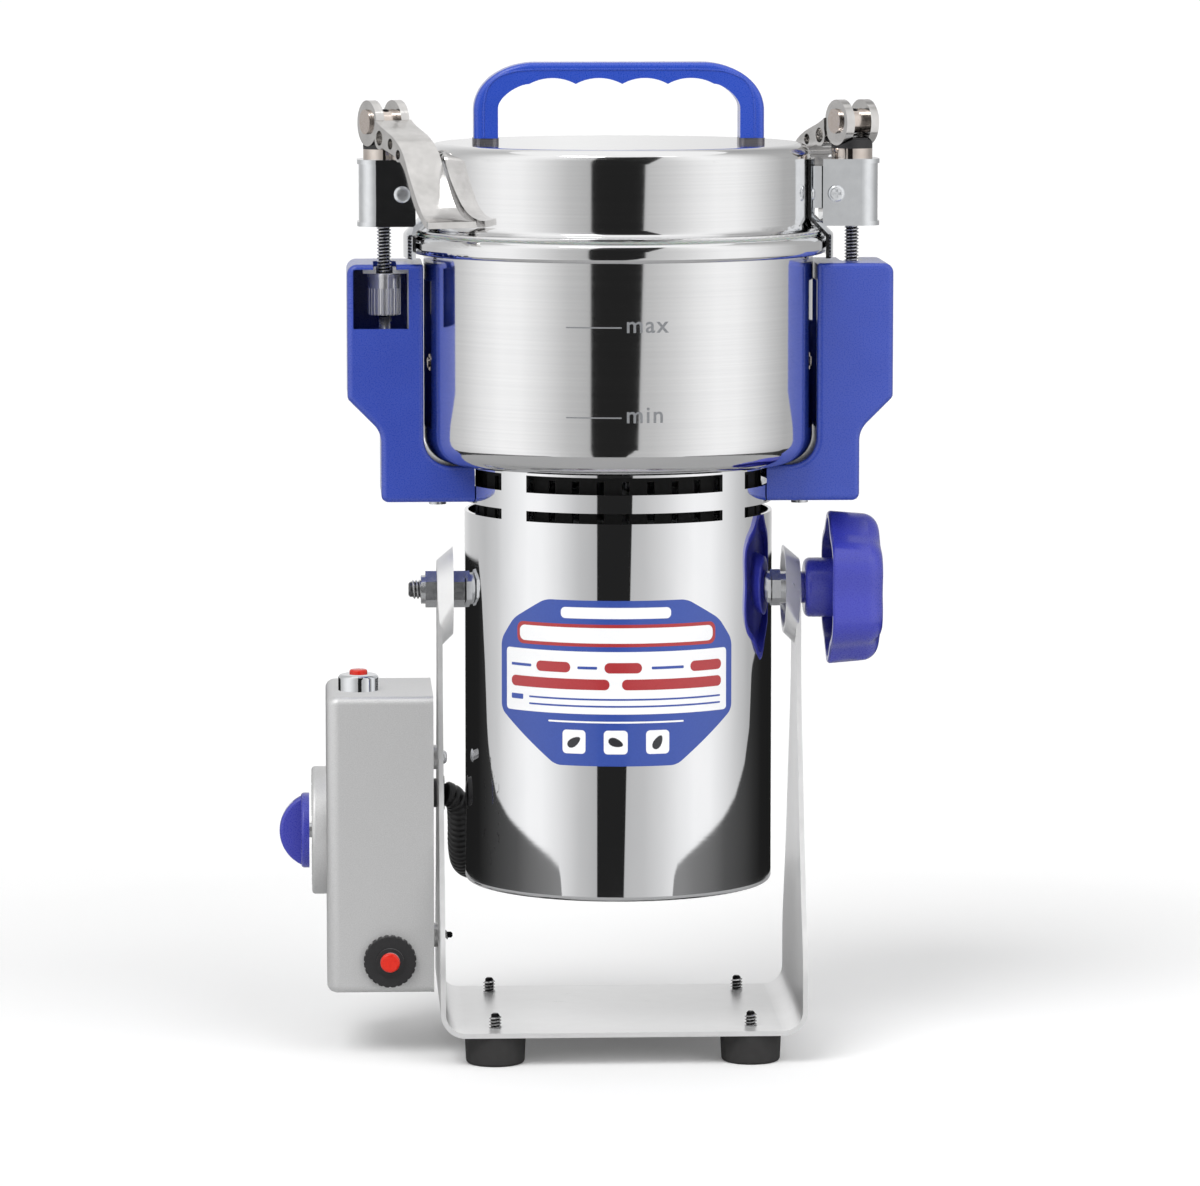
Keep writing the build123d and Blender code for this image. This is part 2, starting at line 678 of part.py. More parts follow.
def motor_bottom_cover():
    low = HOUSING_BOTTOM_Z + HOUSING_WALL
    cover = rod_z(HOUSING_BORE, low, low + 2.0)
    vent = Pos(36.0, 0, low) * Box(26.0, 4.0, 6.0)
    for cutter in around(vent, 20):
        cover -= cutter
    return cover


def motor_bracket(disc, hub, bearing):
    """Cast spider with six air windows and a hub that seats a bearing, by their Z spans."""
    hub_radius = 18.0
    window = rod_z(9.0, disc[0] - 1, disc[1] + 1, 38.0)
    bracket = rod_z(HOUSING_BORE, *disc) + rod_z(hub_radius, *hub)
    for cutter in around(window, 6):
        bracket -= cutter
    bracket -= rod_z(SHAFT_RADIUS + 2, hub[0] - 1, hub[1] + 1)
    for x, y in core_bolt_places():
        bracket -= rod_z(CORE_BOLT_RADIUS, disc[0] - 1, disc[1] + 1, x, y)
    return bracket - rod_z(BEARING_RADIUS, *bearing)


def lower_motor_bracket():
    """Lower spider with the two brush holders cast on it."""
    bracket = motor_bracket((88.0, 92.0), (80.0, 95.0), LOWER_BEARING_SPAN)
    for holder in brush_holders():
        bracket += holder
    return bracket


def upper_motor_bracket():
    return motor_bracket((206.0, 210.0), (200.0, 213.0), UPPER_BEARING_SPAN)


def motor_bearings():
    lower = tube_z(BEARING_RADIUS, BEARING_BORE, *LOWER_BEARING_SPAN)
    upper = tube_z(BEARING_RADIUS, BEARING_BORE, *UPPER_BEARING_SPAN)
    return group([lower, upper])


def stator_core():
    """Laminated ring, held between the brackets by two long bolts."""
    core = tube_z(50.0, 31.2, CORE_LOW_Z, CORE_HIGH_Z)
    for x, y in core_bolt_places():
        core -= rod_z(CORE_BOLT_RADIUS, CORE_LOW_Z - 1, CORE_HIGH_Z + 1, x, y)
    return core


def core_bolt_places():
    x = CORE_BOLT_CIRCLE * cos(radians(30))
    y = CORE_BOLT_CIRCLE * sin(radians(30))
    return [(x, y), (-x, -y)]


def core_bolt():
    """Bolt from the lower bracket through the core to a nut on the upper bracket."""
    x, y = core_bolt_places()[0]
    bolt = rod_z(CORE_BOLT_RADIUS, 86.0, 214.0, x, y)
    for low, high in ((85.0, 88.0), (210.0, 213.0)):
        bolt += rod_z(4.5, low, high, x, y)
    return bolt


def field_coils():
    """Ends of the two field windings, above and below the stator."""
    inner = 33.0
    outer = 42.0
    length = 12.0
    coils = []
    for low, high in ((CORE_LOW_Z - length, CORE_LOW_Z), (CORE_HIGH_Z, CORE_HIGH_Z + length)):
        ring = tube_z(outer, inner, low, high)
        ring -= block((-20.0, 20.0), (-60.0, 60.0), (low - 1, high + 1))
        coils.extend(ring.solids())
    return group(coils)


def rotor_core():
    radius = 30.2
    core = tube_z(radius, SHAFT_RADIUS, CORE_LOW_Z, CORE_HIGH_Z)
    slot = block((radius - 8, radius + 1), (-1.0, 1.0), (CORE_LOW_Z - 1, CORE_HIGH_Z + 1))
    for cutter in around(slot, 12):
        core -= cutter
    return core


def commutator():
    radius = 14.0
    low = 100.0
    high = 116.0
    drum = tube_z(radius, SHAFT_RADIUS, low, high)
    slot = block((radius - 1.5, radius + 1), (-0.4, 0.4), (low - 1, high + 1))
    for cutter in around(slot, 24):
        drum -= cutter
    return drum


def carbon_brushes():
    return both_sides(block(BRUSH_SPAN_X, (BRUSH_START, BRUSH_END), BRUSH_SPAN_Z))


def brush_holders():
    holder = block((-8.0, 8.0), (20.0, 44.0), (91.0, 112.0))
    pocket = block(BRUSH_SPAN_X, (19.0, 42.0), BRUSH_SPAN_Z)
    holder -= pocket
    return [holder, opposite(holder)]


def motor_shaft():
    shaft = rod_z(SHAFT_RADIUS, SHAFT_BOTTOM_Z, SHAFT_SHOULDER_Z)
    return shaft + rod_z(SHAFT_TIP_RADIUS, SHAFT_SHOULDER_Z - 1.0, SHAFT_TOP_Z)


def cooling_fan():
    hub_radius = 12.0
    disc_radius = 46.0
    fan = tube_z(hub_radius, SHAFT_RADIUS, 216.0, 230.0)
    fan += tube_z(disc_radius, SHAFT_RADIUS, 220.0, 221.6)
    blade = block((hub_radius - 1, disc_radius), (-0.7, 0.7), (221.0, 234.0))
    for shape in around(blade, 12):
        fan += shape
    return fan


# ---- Bowl ----

def grinding_bowl():
    floor_z = HOUSING_TOP_Z + BOWL_WALL
    outline = [
        (BEARING_RADIUS, HOUSING_TOP_Z),
        (BOWL_RADIUS, HOUSING_TOP_Z),
        (BOWL_RADIUS, BAND_BOTTOM_Z),
        (BAND_RADIUS, BAND_BOTTOM_Z),
        (BAND_RADIUS, BOWL_TOP_Z),
        (BOWL_BORE, BOWL_TOP_Z),
        (BOWL_BORE, floor_z),
        (BEARING_RADIUS, floor_z),
    ]
    inner_corner = BOWL_CORNER_RADIUS - BOWL_WALL
    return turned(outline, {1: BOWL_CORNER_RADIUS, 3: 2.4, 4: 3.2, 5: 0.5, 6: inner_corner})


def shaft_seal():
    floor_z = HOUSING_TOP_Z + BOWL_WALL
    seal = rod_z(BEARING_RADIUS, 239.0, floor_z) + rod_z(17.0, floor_z, floor_z + 2.0)
    return seal - rod_z(BEARING_BORE, 238.0, 250.0)


def blade(length, width, low_z, tip_rise):
    """Flat bar with its two tips bent up or down."""
    tip_length = 12.0
    flat_half = length / 2 - tip_length
    bar = block((-flat_half, flat_half), (-width / 2, width / 2), (low_z, low_z + BLADE_SHEET))
    outline = [
        (flat_half, low_z),
        (length / 2, low_z + tip_rise),
        (length / 2, low_z + BLADE_SHEET + tip_rise),
        (flat_half, low_z + BLADE_SHEET),
    ]
    tip = extrude(Plane.XZ * make_face(Polyline(*outline, close=True)), width / 2 - 2, both=True)
    bar += tip
    bar += opposite(tip)
    return bar - rod_z(SHAFT_TIP_RADIUS, low_z - 1, low_z + BLADE_SHEET + 1)


def lower_blade():
    return blade(136.0, 18.0, LOWER_BLADE_Z, -5.0)


def upper_blade():
    return Rot(0, 0, 90) * blade(100.0, 16.0, UPPER_BLADE_Z, 8.0)


def blade_spacers():
    lower = tube_z(10.0, SHAFT_RADIUS, LOWER_BLADE_Z - 7.0, LOWER_BLADE_Z)
    upper = tube_z(9.0, SHAFT_TIP_RADIUS, LOWER_BLADE_Z + BLADE_SHEET, UPPER_BLADE_Z)
    return [lower, upper]


def blade_nut():
    low = UPPER_BLADE_Z + BLADE_SHEET
    nut = extrude(Pos(0, 0, low) * RegularPolygon(8.0, 6, major_radius=False), 6.0)
    nut += turned([(0, low + 5), (7.0, low + 5), (7.0, low + 10), (0, low + 10)], {2: 4.0})
    return nut - motor_shaft()


# ---- Lid ----

def lid_shell():
    outline = [
        (0, LID_TOP_Z),
        (LID_WALL_RADIUS, LID_TOP_Z),
        (LID_WALL_RADIUS, BRIM_BOTTOM_Z + LID_SHEET),
        (BRIM_RADIUS, BRIM_BOTTOM_Z + LID_SHEET),
        (BRIM_RADIUS, BRIM_BOTTOM_Z),
        (LID_WALL_RADIUS - LID_SHEET, BRIM_BOTTOM_Z),
        (LID_WALL_RADIUS - LID_SHEET, LID_TOP_Z - LID_SHEET),
        (0, LID_TOP_Z - LID_SHEET),
    ]
    lid = turned(outline, {1: 5.5, 2: 3.0, 3: 0.55, 4: 0.55, 6: 4.3})
    for x in (-HANDLE_LEG_X, HANDLE_LEG_X):
        lid -= rod_z(FOOT_SCREW_RADIUS, LID_TOP_Z - 3, LID_TOP_Z + 1, x)
    return lid


def lid_gasket():
    inner = 74.0
    skirt = 76.9
    lip = 82.4
    outline = [
        (inner, BOWL_TOP_Z - 5),
        (skirt, BOWL_TOP_Z - 5),
        (skirt, BOWL_TOP_Z),
        (lip, BOWL_TOP_Z),
        (lip, BRIM_BOTTOM_Z),
        (skirt, BRIM_BOTTOM_Z),
        (skirt, BOWL_TOP_Z + 6),
        (inner, BOWL_TOP_Z + 6),
    ]
    return turned(outline)


def handle_ferrules():
    seat = extrude(RectangleRounded(10.6, 15.0, 3.0), HANDLE_BOTTOM_Z - LID_TOP_Z)
    ferrule = Pos(HANDLE_LEG_X, 0, LID_TOP_Z) * seat
    ferrule -= rod_z(FOOT_SCREW_RADIUS, LID_TOP_Z - 1, HANDLE_BOTTOM_Z + 1, HANDLE_LEG_X)
    return both_sides(ferrule)


def handle_screw():
    head_low = LID_TOP_Z - LID_SHEET - 3.0
    head = rod_z(4.5, head_low, LID_TOP_Z - LID_SHEET, HANDLE_LEG_X)
    return head + rod_z(FOOT_SCREW_RADIUS, head_low, HANDLE_BOTTOM_Z + 10.0, HANDLE_LEG_X)


def handle_outline():
    """Bridge with round shoulders; its underside has a cusp between each pair of fingers."""
    outer_x = HANDLE_LEG_X + HANDLE_LEG_WIDTH / 2
    inner_x = HANDLE_LEG_X - HANDLE_LEG_WIDTH / 2
    cusp_z = HANDLE_TOP_Z - GRIP_CUSP_THICKNESS
    valley_z = HANDLE_TOP_Z - GRIP_VALLEY_THICKNESS
    shoulder = (HANDLE_SHOULDER_X, HANDLE_TOP_Z)
    elbow = (outer_x, HANDLE_SHOULDER_Z)
    inner_elbow_z = HANDLE_SHOULDER_Z + 1.0
    edges = []
    for side in (-1, 1):
        ends = [(side * outer_x, elbow[1]), (side * shoulder[0], shoulder[1])]
        edges.append(Spline(*ends, tangents=[(0, 1), (-side, 0)], tangent_scalars=[1.15, 1.15]))
        cusp = (GRIP_CUSPS[0 if side < 0 else -1], cusp_z)
        inside = [(side * inner_x, inner_elbow_z), cusp]
        edges.append(Spline(*inside, tangents=[(0, 1), (-side, 0)], tangent_scalars=[0.9, 0.8]))
        edges.append(Line((side * outer_x, HANDLE_BOTTOM_Z), (side * outer_x, elbow[1])))
        edges.append(Line((side * outer_x, HANDLE_BOTTOM_Z), (side * inner_x, HANDLE_BOTTOM_Z)))
        edges.append(Line((side * inner_x, HANDLE_BOTTOM_Z), (side * inner_x, inner_elbow_z)))
    edges.append(Line((-shoulder[0], shoulder[1]), shoulder))
    for left, right in zip(GRIP_CUSPS, GRIP_CUSPS[1:]):
        valley = ((left + right) / 2, valley_z)
        edges.append(ThreePointArc((left, cusp_z), valley, (right, cusp_z)))
    return make_face([edge for line in edges for edge in line.edges()])


def lid_handle():
    rounding = 2.0
    handle = extrude(Plane.XZ * handle_outline(), HANDLE_DEPTH / 2, both=True)
    ends = [edge for edge in handle.edges() if abs(edge.center().Z - HANDLE_BOTTOM_Z) < 1e-3]
    outer = [edge for edge in handle.edges().filter_by(Axis.Y, reverse=True) if edge not in ends]
    top = [edge for edge in outer if edge.bounding_box().max.Z > HANDLE_TOP_Z - 1e-3]
    sides = [edge for edge in outer if abs(edge.center().X) > HANDLE_LEG_X + 4]
    handle = fillet(top + [edge for edge in sides if edge not in top], rounding)
    for shape in (handle_screw(), opposite(handle_screw())):
        handle -= shape
    return handle


# ---- Side covers and arms (right-hand side) ----

def side_cover():
    """Blue housing over the arm, with a window for the nut and a slot for the rod."""
    corner = (COVER_INNER_X, COVER_FOOT_TOP_Z)
    foot_end_x = 50.0
    outline = [
        (COVER_INNER_X, COVER_TOP_Z),
        (COVER_OUTER_X, COVER_TOP_Z),
        (COVER_OUTER_X, COVER_SWELL_Z),
        (COVER_NECK_X, COVER_NECK_Z),
        (COVER_NECK_X, COVER_BOTTOM_Z),
        (foot_end_x, COVER_BOTTOM_Z),
        (foot_end_x, COVER_FOOT_TOP_Z),
        corner,
    ]
    face = rounded_face(outline, {0: 1.0, 1: 4.0, 2: 3.0, 3: 10.0, 4: 3.0, 7: BOWL_CORNER_RADIUS})
    cover = extrude(Plane.XZ * face, COVER_HALF_DEPTH, both=True)
    edges = [
        edge for edge in cover.edges().filter_by(Axis.Y, reverse=True)
        if edge.bounding_box().min.X > COVER_INNER_X + 0.5 or edge.center().Z < COVER_BOTTOM_Z + 1
    ]
    cover = fillet(edges, 2.2)
    wall = COVER_WALL
    hollow = [
        (COVER_INNER_X + wall, COVER_TOP_Z - COVER_TOP_WALL),
        (COVER_OUTER_X - wall, COVER_TOP_Z - COVER_TOP_WALL),
        (COVER_OUTER_X - wall, COVER_SWELL_Z + 1),
        (COVER_NECK_X - wall, COVER_NECK_Z + 1),
        (COVER_NECK_X - wall, COVER_BOTTOM_Z + wall),
        (foot_end_x - 1, COVER_BOTTOM_Z + wall),
        (foot_end_x - 1, COVER_FOOT_TOP_Z - wall),
        (COVER_INNER_X + wall, COVER_FOOT_TOP_Z - wall),
    ]
    space = rounded_face(hollow, {1: 2.0, 2: 3.0, 3: 10.0, 4: 1.5, 7: BOWL_CORNER_RADIUS + wall})
    cover -= extrude(Plane.XZ * space, COVER_HALF_DEPTH - wall, both=True)
    cover -= rod_z(HOUSING_RADIUS + 0.3, 200.0, 300.0)
    past = COVER_HALF_DEPTH + 1
    window_top = COVER_TOP_Z - COVER_TOP_WALL
    cover -= block(
        (WINDOW_INNER_X, COVER_OUTER_X - wall), (past - 2 * wall, past),
        (WINDOW_BOTTOM_Z, window_top),
    )
    half_slot = ROD_SLOT_WIDTH / 2
    cover -= block((LATCH_X - half_slot, LATCH_X + half_slot), (0, past), (window_top - 1, 330.0))
    cover -= rod_z(half_slot, window_top - 1, 330.0, LATCH_X)
    cover -= block((COVER_INNER_X - 1, COVER_INNER_X + wall + 1), (-15.0, 15.0), (256.0, 316.0))
    for place in ARM_SCREW_PLACES:
        cover += tube_z(4.0, ARM_SCREW_RADIUS, COVER_BOTTOM_Z + wall, ARM_FOOT_Z, *place)
        cover -= rod_z(ARM_SCREW_RADIUS, COVER_BOTTOM_Z - 1, ARM_FOOT_Z, *place)
    return cover


def steel_arm():
    """Bent bar from the housing up to the slotted tab that the adjusting nut pulls against."""
    depth = (-ARM_HALF_DEPTH, ARM_HALF_DEPTH)
    outer_x = ARM_INNER_X + ARM_THICKNESS
    arm = block((ARM_INNER_X, outer_x), depth, (ARM_FOOT_Z, ARM_TAB_TOP_Z))
    arm += block((40.0, outer_x), depth, (ARM_FOOT_Z, ARM_FOOT_Z + ARM_THICKNESS))
    arm += block((ARM_INNER_X, ARM_TAB_END_X), depth, (ARM_TAB_BOTTOM_Z, ARM_TAB_TOP_Z))
    arm -= rod_z(HOUSING_RADIUS, 200.0, 300.0)
    arm -= rod_z(ROD_HOLE_RADIUS, ARM_TAB_BOTTOM_Z - 1, ARM_TAB_TOP_Z + 1, LATCH_X)
    arm -= block(
        (LATCH_X - ROD_HOLE_RADIUS, LATCH_X + ROD_HOLE_RADIUS),
        (0, ARM_HALF_DEPTH + 1),
        (ARM_TAB_BOTTOM_Z - 1, ARM_TAB_TOP_Z + 1),
    )
    for place in ARM_SCREW_PLACES:
        arm -= rod_z(ARM_SCREW_RADIUS, ARM_FOOT_Z - 1, ARM_FOOT_Z + 4, *place)
    return arm - rod_x(PIN_RADIUS, ARM_INNER_X - 1, outer_x + 1, 0, PIN_Z)


def arm_screws():
    screws = []
    for place in ARM_SCREW_PLACES:
        screw = rod_z(3.5, COVER_BOTTOM_Z - 2.2, COVER_BOTTOM_Z, *place)
        screws.append(screw + rod_z(ARM_SCREW_RADIUS, COVER_BOTTOM_Z - 1, 236.0, *place))
    return screws


# ---- Latches (right-hand side) ----

def latch_rod():
    """Threaded rod with a flat tongue at its foot, which hangs on the pin in the arm."""
    tongue = block(
        (LATCH_X - TONGUE_HALF_WIDTH, LATCH_X + TONGUE_HALF_WIDTH),
        (-4.0, 4.0),
        (PIN_Z, TONGUE_TOP_Z),
    )
    tongue += rod_x(4.0, LATCH_X - TONGUE_HALF_WIDTH, LATCH_X + TONGUE_HALF_WIDTH, 0, PIN_Z)
    tongue -= rod_x(PIN_RADIUS, LATCH_X - 5, LATCH_X + 5, 0, PIN_Z)
    return tongue + rod_z(ROD_RADIUS, TONGUE_TOP_Z - 2.0, BARREL_Z + BARREL_RADIUS, LATCH_X)


def latch_pivot_pin():
    head_x = LATCH_X + TONGUE_HALF_WIDTH
    arm_x = ARM_INNER_X + ARM_THICKNESS
    pin = rod_x(PIN_RADIUS, ARM_INNER_X, head_x + 1.5, 0, PIN_Z)
    pin += rod_x(3.5, head_x, head_x + 1.5, 0, PIN_Z)
    return pin + rod_x(3.5, arm_x, LATCH_X - TONGUE_HALF_WIDTH, 0, PIN_Z)


def knurled_nut():
    """Adjusting nut: fluted skirt, smooth shoulder and a small flange."""
    bore = ROD_RADIUS + RUNNING_GAP
    flange_radius = 7.05
    outline = [
        (bore, NUT_BOTTOM_Z),
        (NUT_RADIUS, NUT_BOTTOM_Z),
        (NUT_RADIUS, NUT_TOP_Z - 1.5),
        (flange_radius, NUT_TOP_Z - 1.5),
        (flange_radius, NUT_TOP_Z),
        (bore, NUT_TOP_Z),
    ]
    nut = turned(outline, {1: 0.6, 4: 0.4})
    flute = Pos(NUT_RADIUS + 0.25, 0, NUT_BOTTOM_Z + 4) * Cylinder(0.55, 14.0)
    for cutter in around(flute, 26):
        nut -= cutter
    return Pos(LATCH_X, 0, 0) * nut


def latch_plan(grow):
    """Plan outline of the latch cover: flat front and back, round outer end."""
    outline = [
        (BOX_INNER_X, -BOX_HALF_DEPTH - grow),
        (BOX_OUTER_X + grow, -BOX_HALF_DEPTH - grow),
        (BOX_OUTER_X + grow, BOX_HALF_DEPTH + grow),
        (BOX_INNER_X, BOX_HALF_DEPTH + grow),
    ]
    return rounded_face(outline, {1: 7.0 + grow, 2: 7.0 + grow})


def latch_box():
    wall = 1.2
    low = BOX_BOTTOM_Z + BOX_END_THICKNESS
    high = BOX_TOP_Z - BOX_END_THICKNESS
    side = extrude(Pos(0, 0, low) * latch_plan(0), high - low)
    inside = extrude(Pos(0, 0, low) * latch_plan(-wall), high - low)
    box = side - inside
    box += block((BOX_INNER_X, BOX_INNER_X + wall), (-BOX_HALF_DEPTH, BOX_HALF_DEPTH), (low, high))
    for level in (BOX_BOTTOM_Z, high):
        box += extrude(Pos(0, 0, level) * latch_plan(0.7), BOX_END_THICKNESS)
    box -= rod_z(ROD_HOLE_RADIUS, BOX_BOTTOM_Z - 1, BOX_TOP_Z + 1, LATCH_X)
    box -= rod_y(LATCH_SCREW_RADIUS, -BOX_HALF_DEPTH - 1, BOX_HALF_DEPTH + 1, *LATCH_SCREW_PLACE)
    return box - saddle_plate()


def latch_screws():
    """Two cross-head screws, one on the front and one on the back of the latch cover."""
    radius = 3.4
    height = 1.9
    head = turned([(0, 0), (radius, 0), (radius, height), (0, height)], {2: 1.2})
    wing = (-1.75, 1.75)
    slot = (-0.5, 0.5)
    depth = (height - 0.9, height + 1)
    head -= block(wing, slot, depth) + block(slot, wing, depth)
    front = Pos(LATCH_SCREW_PLACE[0], -BOX_HALF_DEPTH, LATCH_SCREW_PLACE[1]) * Rot(90, 0, 0) * head
    front += rod_y(
        LATCH_SCREW_RADIUS, -BOX_HALF_DEPTH - 0.5, -BOX_HALF_DEPTH + 4, *LATCH_SCREW_PLACE
    )
    return [front, mirror(front, about=Plane.XZ)]


def saddle_plate():
    """Bent sheet that hugs the lid's wall, flares over its brim and hooks over the band."""
    outer = SADDLE_RADIUS + SADDLE_SHEET
    slant_inner = 420.3
    slant_outer = slant_inner + SADDLE_SHEET * sqrt(2)
    lip_inner = 86.1
    lip_outer = lip_inner + SADDLE_SHEET
    lip_bottom_z = 325.4
    top_z = 365.3
    outline = [
        (SADDLE_RADIUS, top_z),
        (outer, top_z),
        (outer, slant_outer - outer),
        (lip_outer, slant_outer - lip_outer),
        (lip_outer, lip_bottom_z),
        (lip_inner, lip_bottom_z),
        (lip_inner, slant_inner - lip_inner),
        (SADDLE_RADIUS, slant_inner - SADDLE_RADIUS),
    ]
    face = Plane.XZ * rounded_face(outline, {3: 2.0, 6: 0.6})
    plate = Rot(0, 0, -SADDLE_HALF_ANGLE) * revolve(face, Axis.Z, 2 * SADDLE_HALF_ANGLE)
    web = block((SADDLE_RADIUS, BOX_INNER_X), (-8.0, 8.0), (345.0, 362.0))
    web -= rod_z(SADDLE_RADIUS + 0.2, 340.0, 370.0)
    return plate + web


def latch_collar():
    return tube_z(COLLAR_RADIUS, ROD_HOLE_RADIUS, BOX_TOP_Z, COLLAR_TOP_Z, LATCH_X)


def cam_saddle():
    """Black pad with a trough under the two cam ears and a block between them."""
    pad_top_z = 372.6
    block_top_z = 373.2
    trough_radius = 10.9
    trough_low_z = 369.8
    pad = rod_z(COLLAR_RADIUS, COLLAR_TOP_Z, pad_top_z)
    pad -= rod_y(trough_radius, -10.0, 10.0, 0, trough_low_z + trough_radius)
    centre = block((-7.0, 7.0), (-3.5, 3.5), (COLLAR_TOP_Z, block_top_z))
    pad += centre
    pad -= rod_z(ROD_HOLE_RADIUS, COLLAR_TOP_Z - 1, block_top_z + 1)
    return Pos(LATCH_X, 0, 0) * Rot(0, 0, LEVER_AZIMUTH) * pad


def latch_barrel():
    half = BARREL_LENGTH / 2
    barrel = rod_y(BARREL_RADIUS, -half, half, 0, BARREL_Z)
    barrel -= rod_z(ROD_RADIUS, BARREL_Z - 9, BARREL_Z + 9)
    return Pos(LATCH_X, 0, 0) * Rot(0, 0, LEVER_AZIMUTH) * barrel


def cam_lever():
    """Cast lever: two cam ears on the barrel, a pierced web and a long curved handle."""
    half = LEVER_WIDTH / 2
    inner_end = (9.0, 371.5)
    edges = [
        Spline(*LEVER_TOP_EDGE),
        Line(LEVER_TOP_EDGE[-1], LEVER_BOTTOM_EDGE[0]),
        Spline(*LEVER_BOTTOM_EDGE),
        Line(LEVER_BOTTOM_EDGE[-1], inner_end),
        Line(inner_end, LEVER_TOP_EDGE[0]),
    ]
    face = make_face([edge for line in edges for edge in line.edges()])
    lever = extrude(Plane.XZ * face, half, both=True)
    ear_z = BARREL_Z - CAM_OFFSET
    lever += rod_y(EAR_CAM_RADIUS, -LEVER_GAP / 2 - CAM_EAR_THICKNESS,
                   LEVER_GAP / 2 + CAM_EAR_THICKNESS, 0, ear_z)
    for x, z, radius, boss in LEVER_HOLES:
        lever += rod_y(boss, -half, half, x, z)
    gap_half = LEVER_GAP / 2
    lever -= block((-12.0, 9.6), (-gap_half, gap_half), (360.0, 395.0))
    lever -= rod_y(BARREL_RADIUS + RUNNING_GAP, -half - 1, half + 1, 0, BARREL_Z)
    for x, z, radius, boss in LEVER_HOLES:
        for side in (-1, 1):
            lever -= rod_y(radius, side * (half - 4), side * (half + 1), x, z)
    fishtail = [(52.0, -half), (60.0, -9.0), (66.0, -11.0), (66.0, 11.0), (60.0, 9.0), (52.0, half)]
    tail = extrude(Pos(0, 0, 330.0) * make_face(Polyline(*fishtail, close=True)), 30.0)
    wide = extrude(Plane.XZ * face, 12.0, both=True)
    lever += tail & wide
    return Pos(LATCH_X, 0, 0) * Rot(0, 0, LEVER_AZIMUTH) * lever


# ---- Pivot hardware ----

def pivot_stud():
    """Left pivot bolt, fixed in the housing and free to turn in the ear."""
    return rod_x(PIVOT_STUD_RADIUS, STUD_END_X, -54.0, 0, PIVOT_Z)


def pivot_nuts():
    """Nuts that hold the two studs to the housing, inside and outside its wall."""
    inner_face_x = 60.6
    inner_end_x = 56.0
    outer_end_left = 68.0
    outer_end_right = 66.5
    nuts = [
        hex_x(NUT_ACROSS_FLATS, -outer_end_left, -HOUSING_RADIUS, PIVOT_Z),
        hex_x(NUT_ACROSS_FLATS, -inner_face_x, -inner_end_x, PIVOT_Z),
        hex_x(NUT_ACROSS_FLATS, HOUSING_RADIUS, outer_end_right, PIVOT_Z),
        hex_x(NUT_ACROSS_FLATS, inner_end_x, inner_face_x, PIVOT_Z),
    ]
    bore = rod_x(PIVOT_HOLE_RADIUS, -90.0, 90.0, 0, PIVOT_Z)
    return [nut - bore for nut in nuts]


def pivot_spacers():
    ear_floor_x = LEG_INNER_X - EAR_GAP
    left = rod_x(SPACER_RADIUS, -ear_floor_x, -68.0, 0, PIVOT_Z)
    right = rod_x(SPACER_RADIUS, 66.5, ear_floor_x, 0, PIVOT_Z)
    bore = rod_x(PIVOT_HOLE_RADIUS, -90.0, 90.0, 0, PIVOT_Z)
    return [left - bore, right - bore]


def pivot_lock_nut():
    """Nylon-collar nut outside the left ear."""
    hex_end_x = -79.0
    collar_end_x = -80.8
    collar_radius = 5.9
    start_x = -LEG_OUTER_X - EAR_GAP
    nut = hex_x(NUT_ACROSS_FLATS, hex_end_x, start_x, PIVOT_Z)
    nut += rod_x(collar_radius, collar_end_x, hex_end_x, 0, PIVOT_Z)
    return nut - rod_x(PIVOT_STUD_RADIUS, -90.0, -70.0, 0, PIVOT_Z)


def star_outline(inset):
    """Wavy outline with six lobes, with a valley towards the front."""
    mean = (STAR_PEAK_RADIUS + STAR_VALLEY_RADIUS) / 2 - inset
    wave = (STAR_PEAK_RADIUS - STAR_VALLEY_RADIUS) / 2
    steps = STAR_LOBES * 6
    points = []
    for index in range(steps):
        angle = radians(index * 360 / steps)
        radius = mean + wave * cos(STAR_LOBES * angle)
        points.append((radius * cos(angle), radius * sin(angle)))
    return make_face(Spline(*points, periodic=True))


def star_sections(height):
    """Outlines of the knob's outside, from its rear edge to where its front turns flat."""
    steps = 8
    sections = [(0, STAR_REAR_CHAMFER), (STAR_REAR_CHAMFER, 0)]
    for index in range(steps + 1):
        angle = radians(index * 90 / steps)
        z = height - STAR_FRONT_ROUNDING * (1 - sin(angle))
        sections.append((z, STAR_FRONT_ROUNDING * (1 - cos(angle))))
    slope = STAR_DRAFT / height
    return [Pos(0, 0, z) * star_outline(inset + slope * z) for z, inset in sections]


def star_knob():
    """Hollow-backed six-lobed knob on a hub, drawn in towards its round front edge."""
    shell_thickness = 3.0
    front_thickness = 4.0
    height = STAR_FRONT_X - STAR_REAR_X
    shell = loft(star_sections(height), ruled=True)
    hollow_height = height - front_thickness
    hollow_end = Pos(0, 0, hollow_height) * star_outline(shell_thickness + STAR_DRAFT)
    shell -= loft([star_outline(shell_thickness), hollow_end], ruled=True)
    hub_start = STAR_HUB_X - STAR_REAR_X
    collar_start = LEG_OUTER_X + EAR_GAP - STAR_REAR_X
    hub_end = hollow_height + 1
    shell += turned(
        [(0, hub_start), (STAR_HUB_RADIUS, hub_start), (STAR_HUB_RADIUS, hub_end), (0, hub_end)],
        {1: 2.5},
    )
    shell += rod_z(SPACER_RADIUS, collar_start, hub_start)
    shell -= rod_z(PIVOT_STUD_RADIUS, collar_start - 1, STUD_IN_KNOB_X - STAR_REAR_X)
    return Pos(STAR_REAR_X, 0, PIVOT_Z) * Rot(0, 90, 0) * shell


def star_knob_stud():
    return rod_x(PIVOT_STUD_RADIUS, 54.0, STUD_IN_KNOB_X, 0, PIVOT_Z)


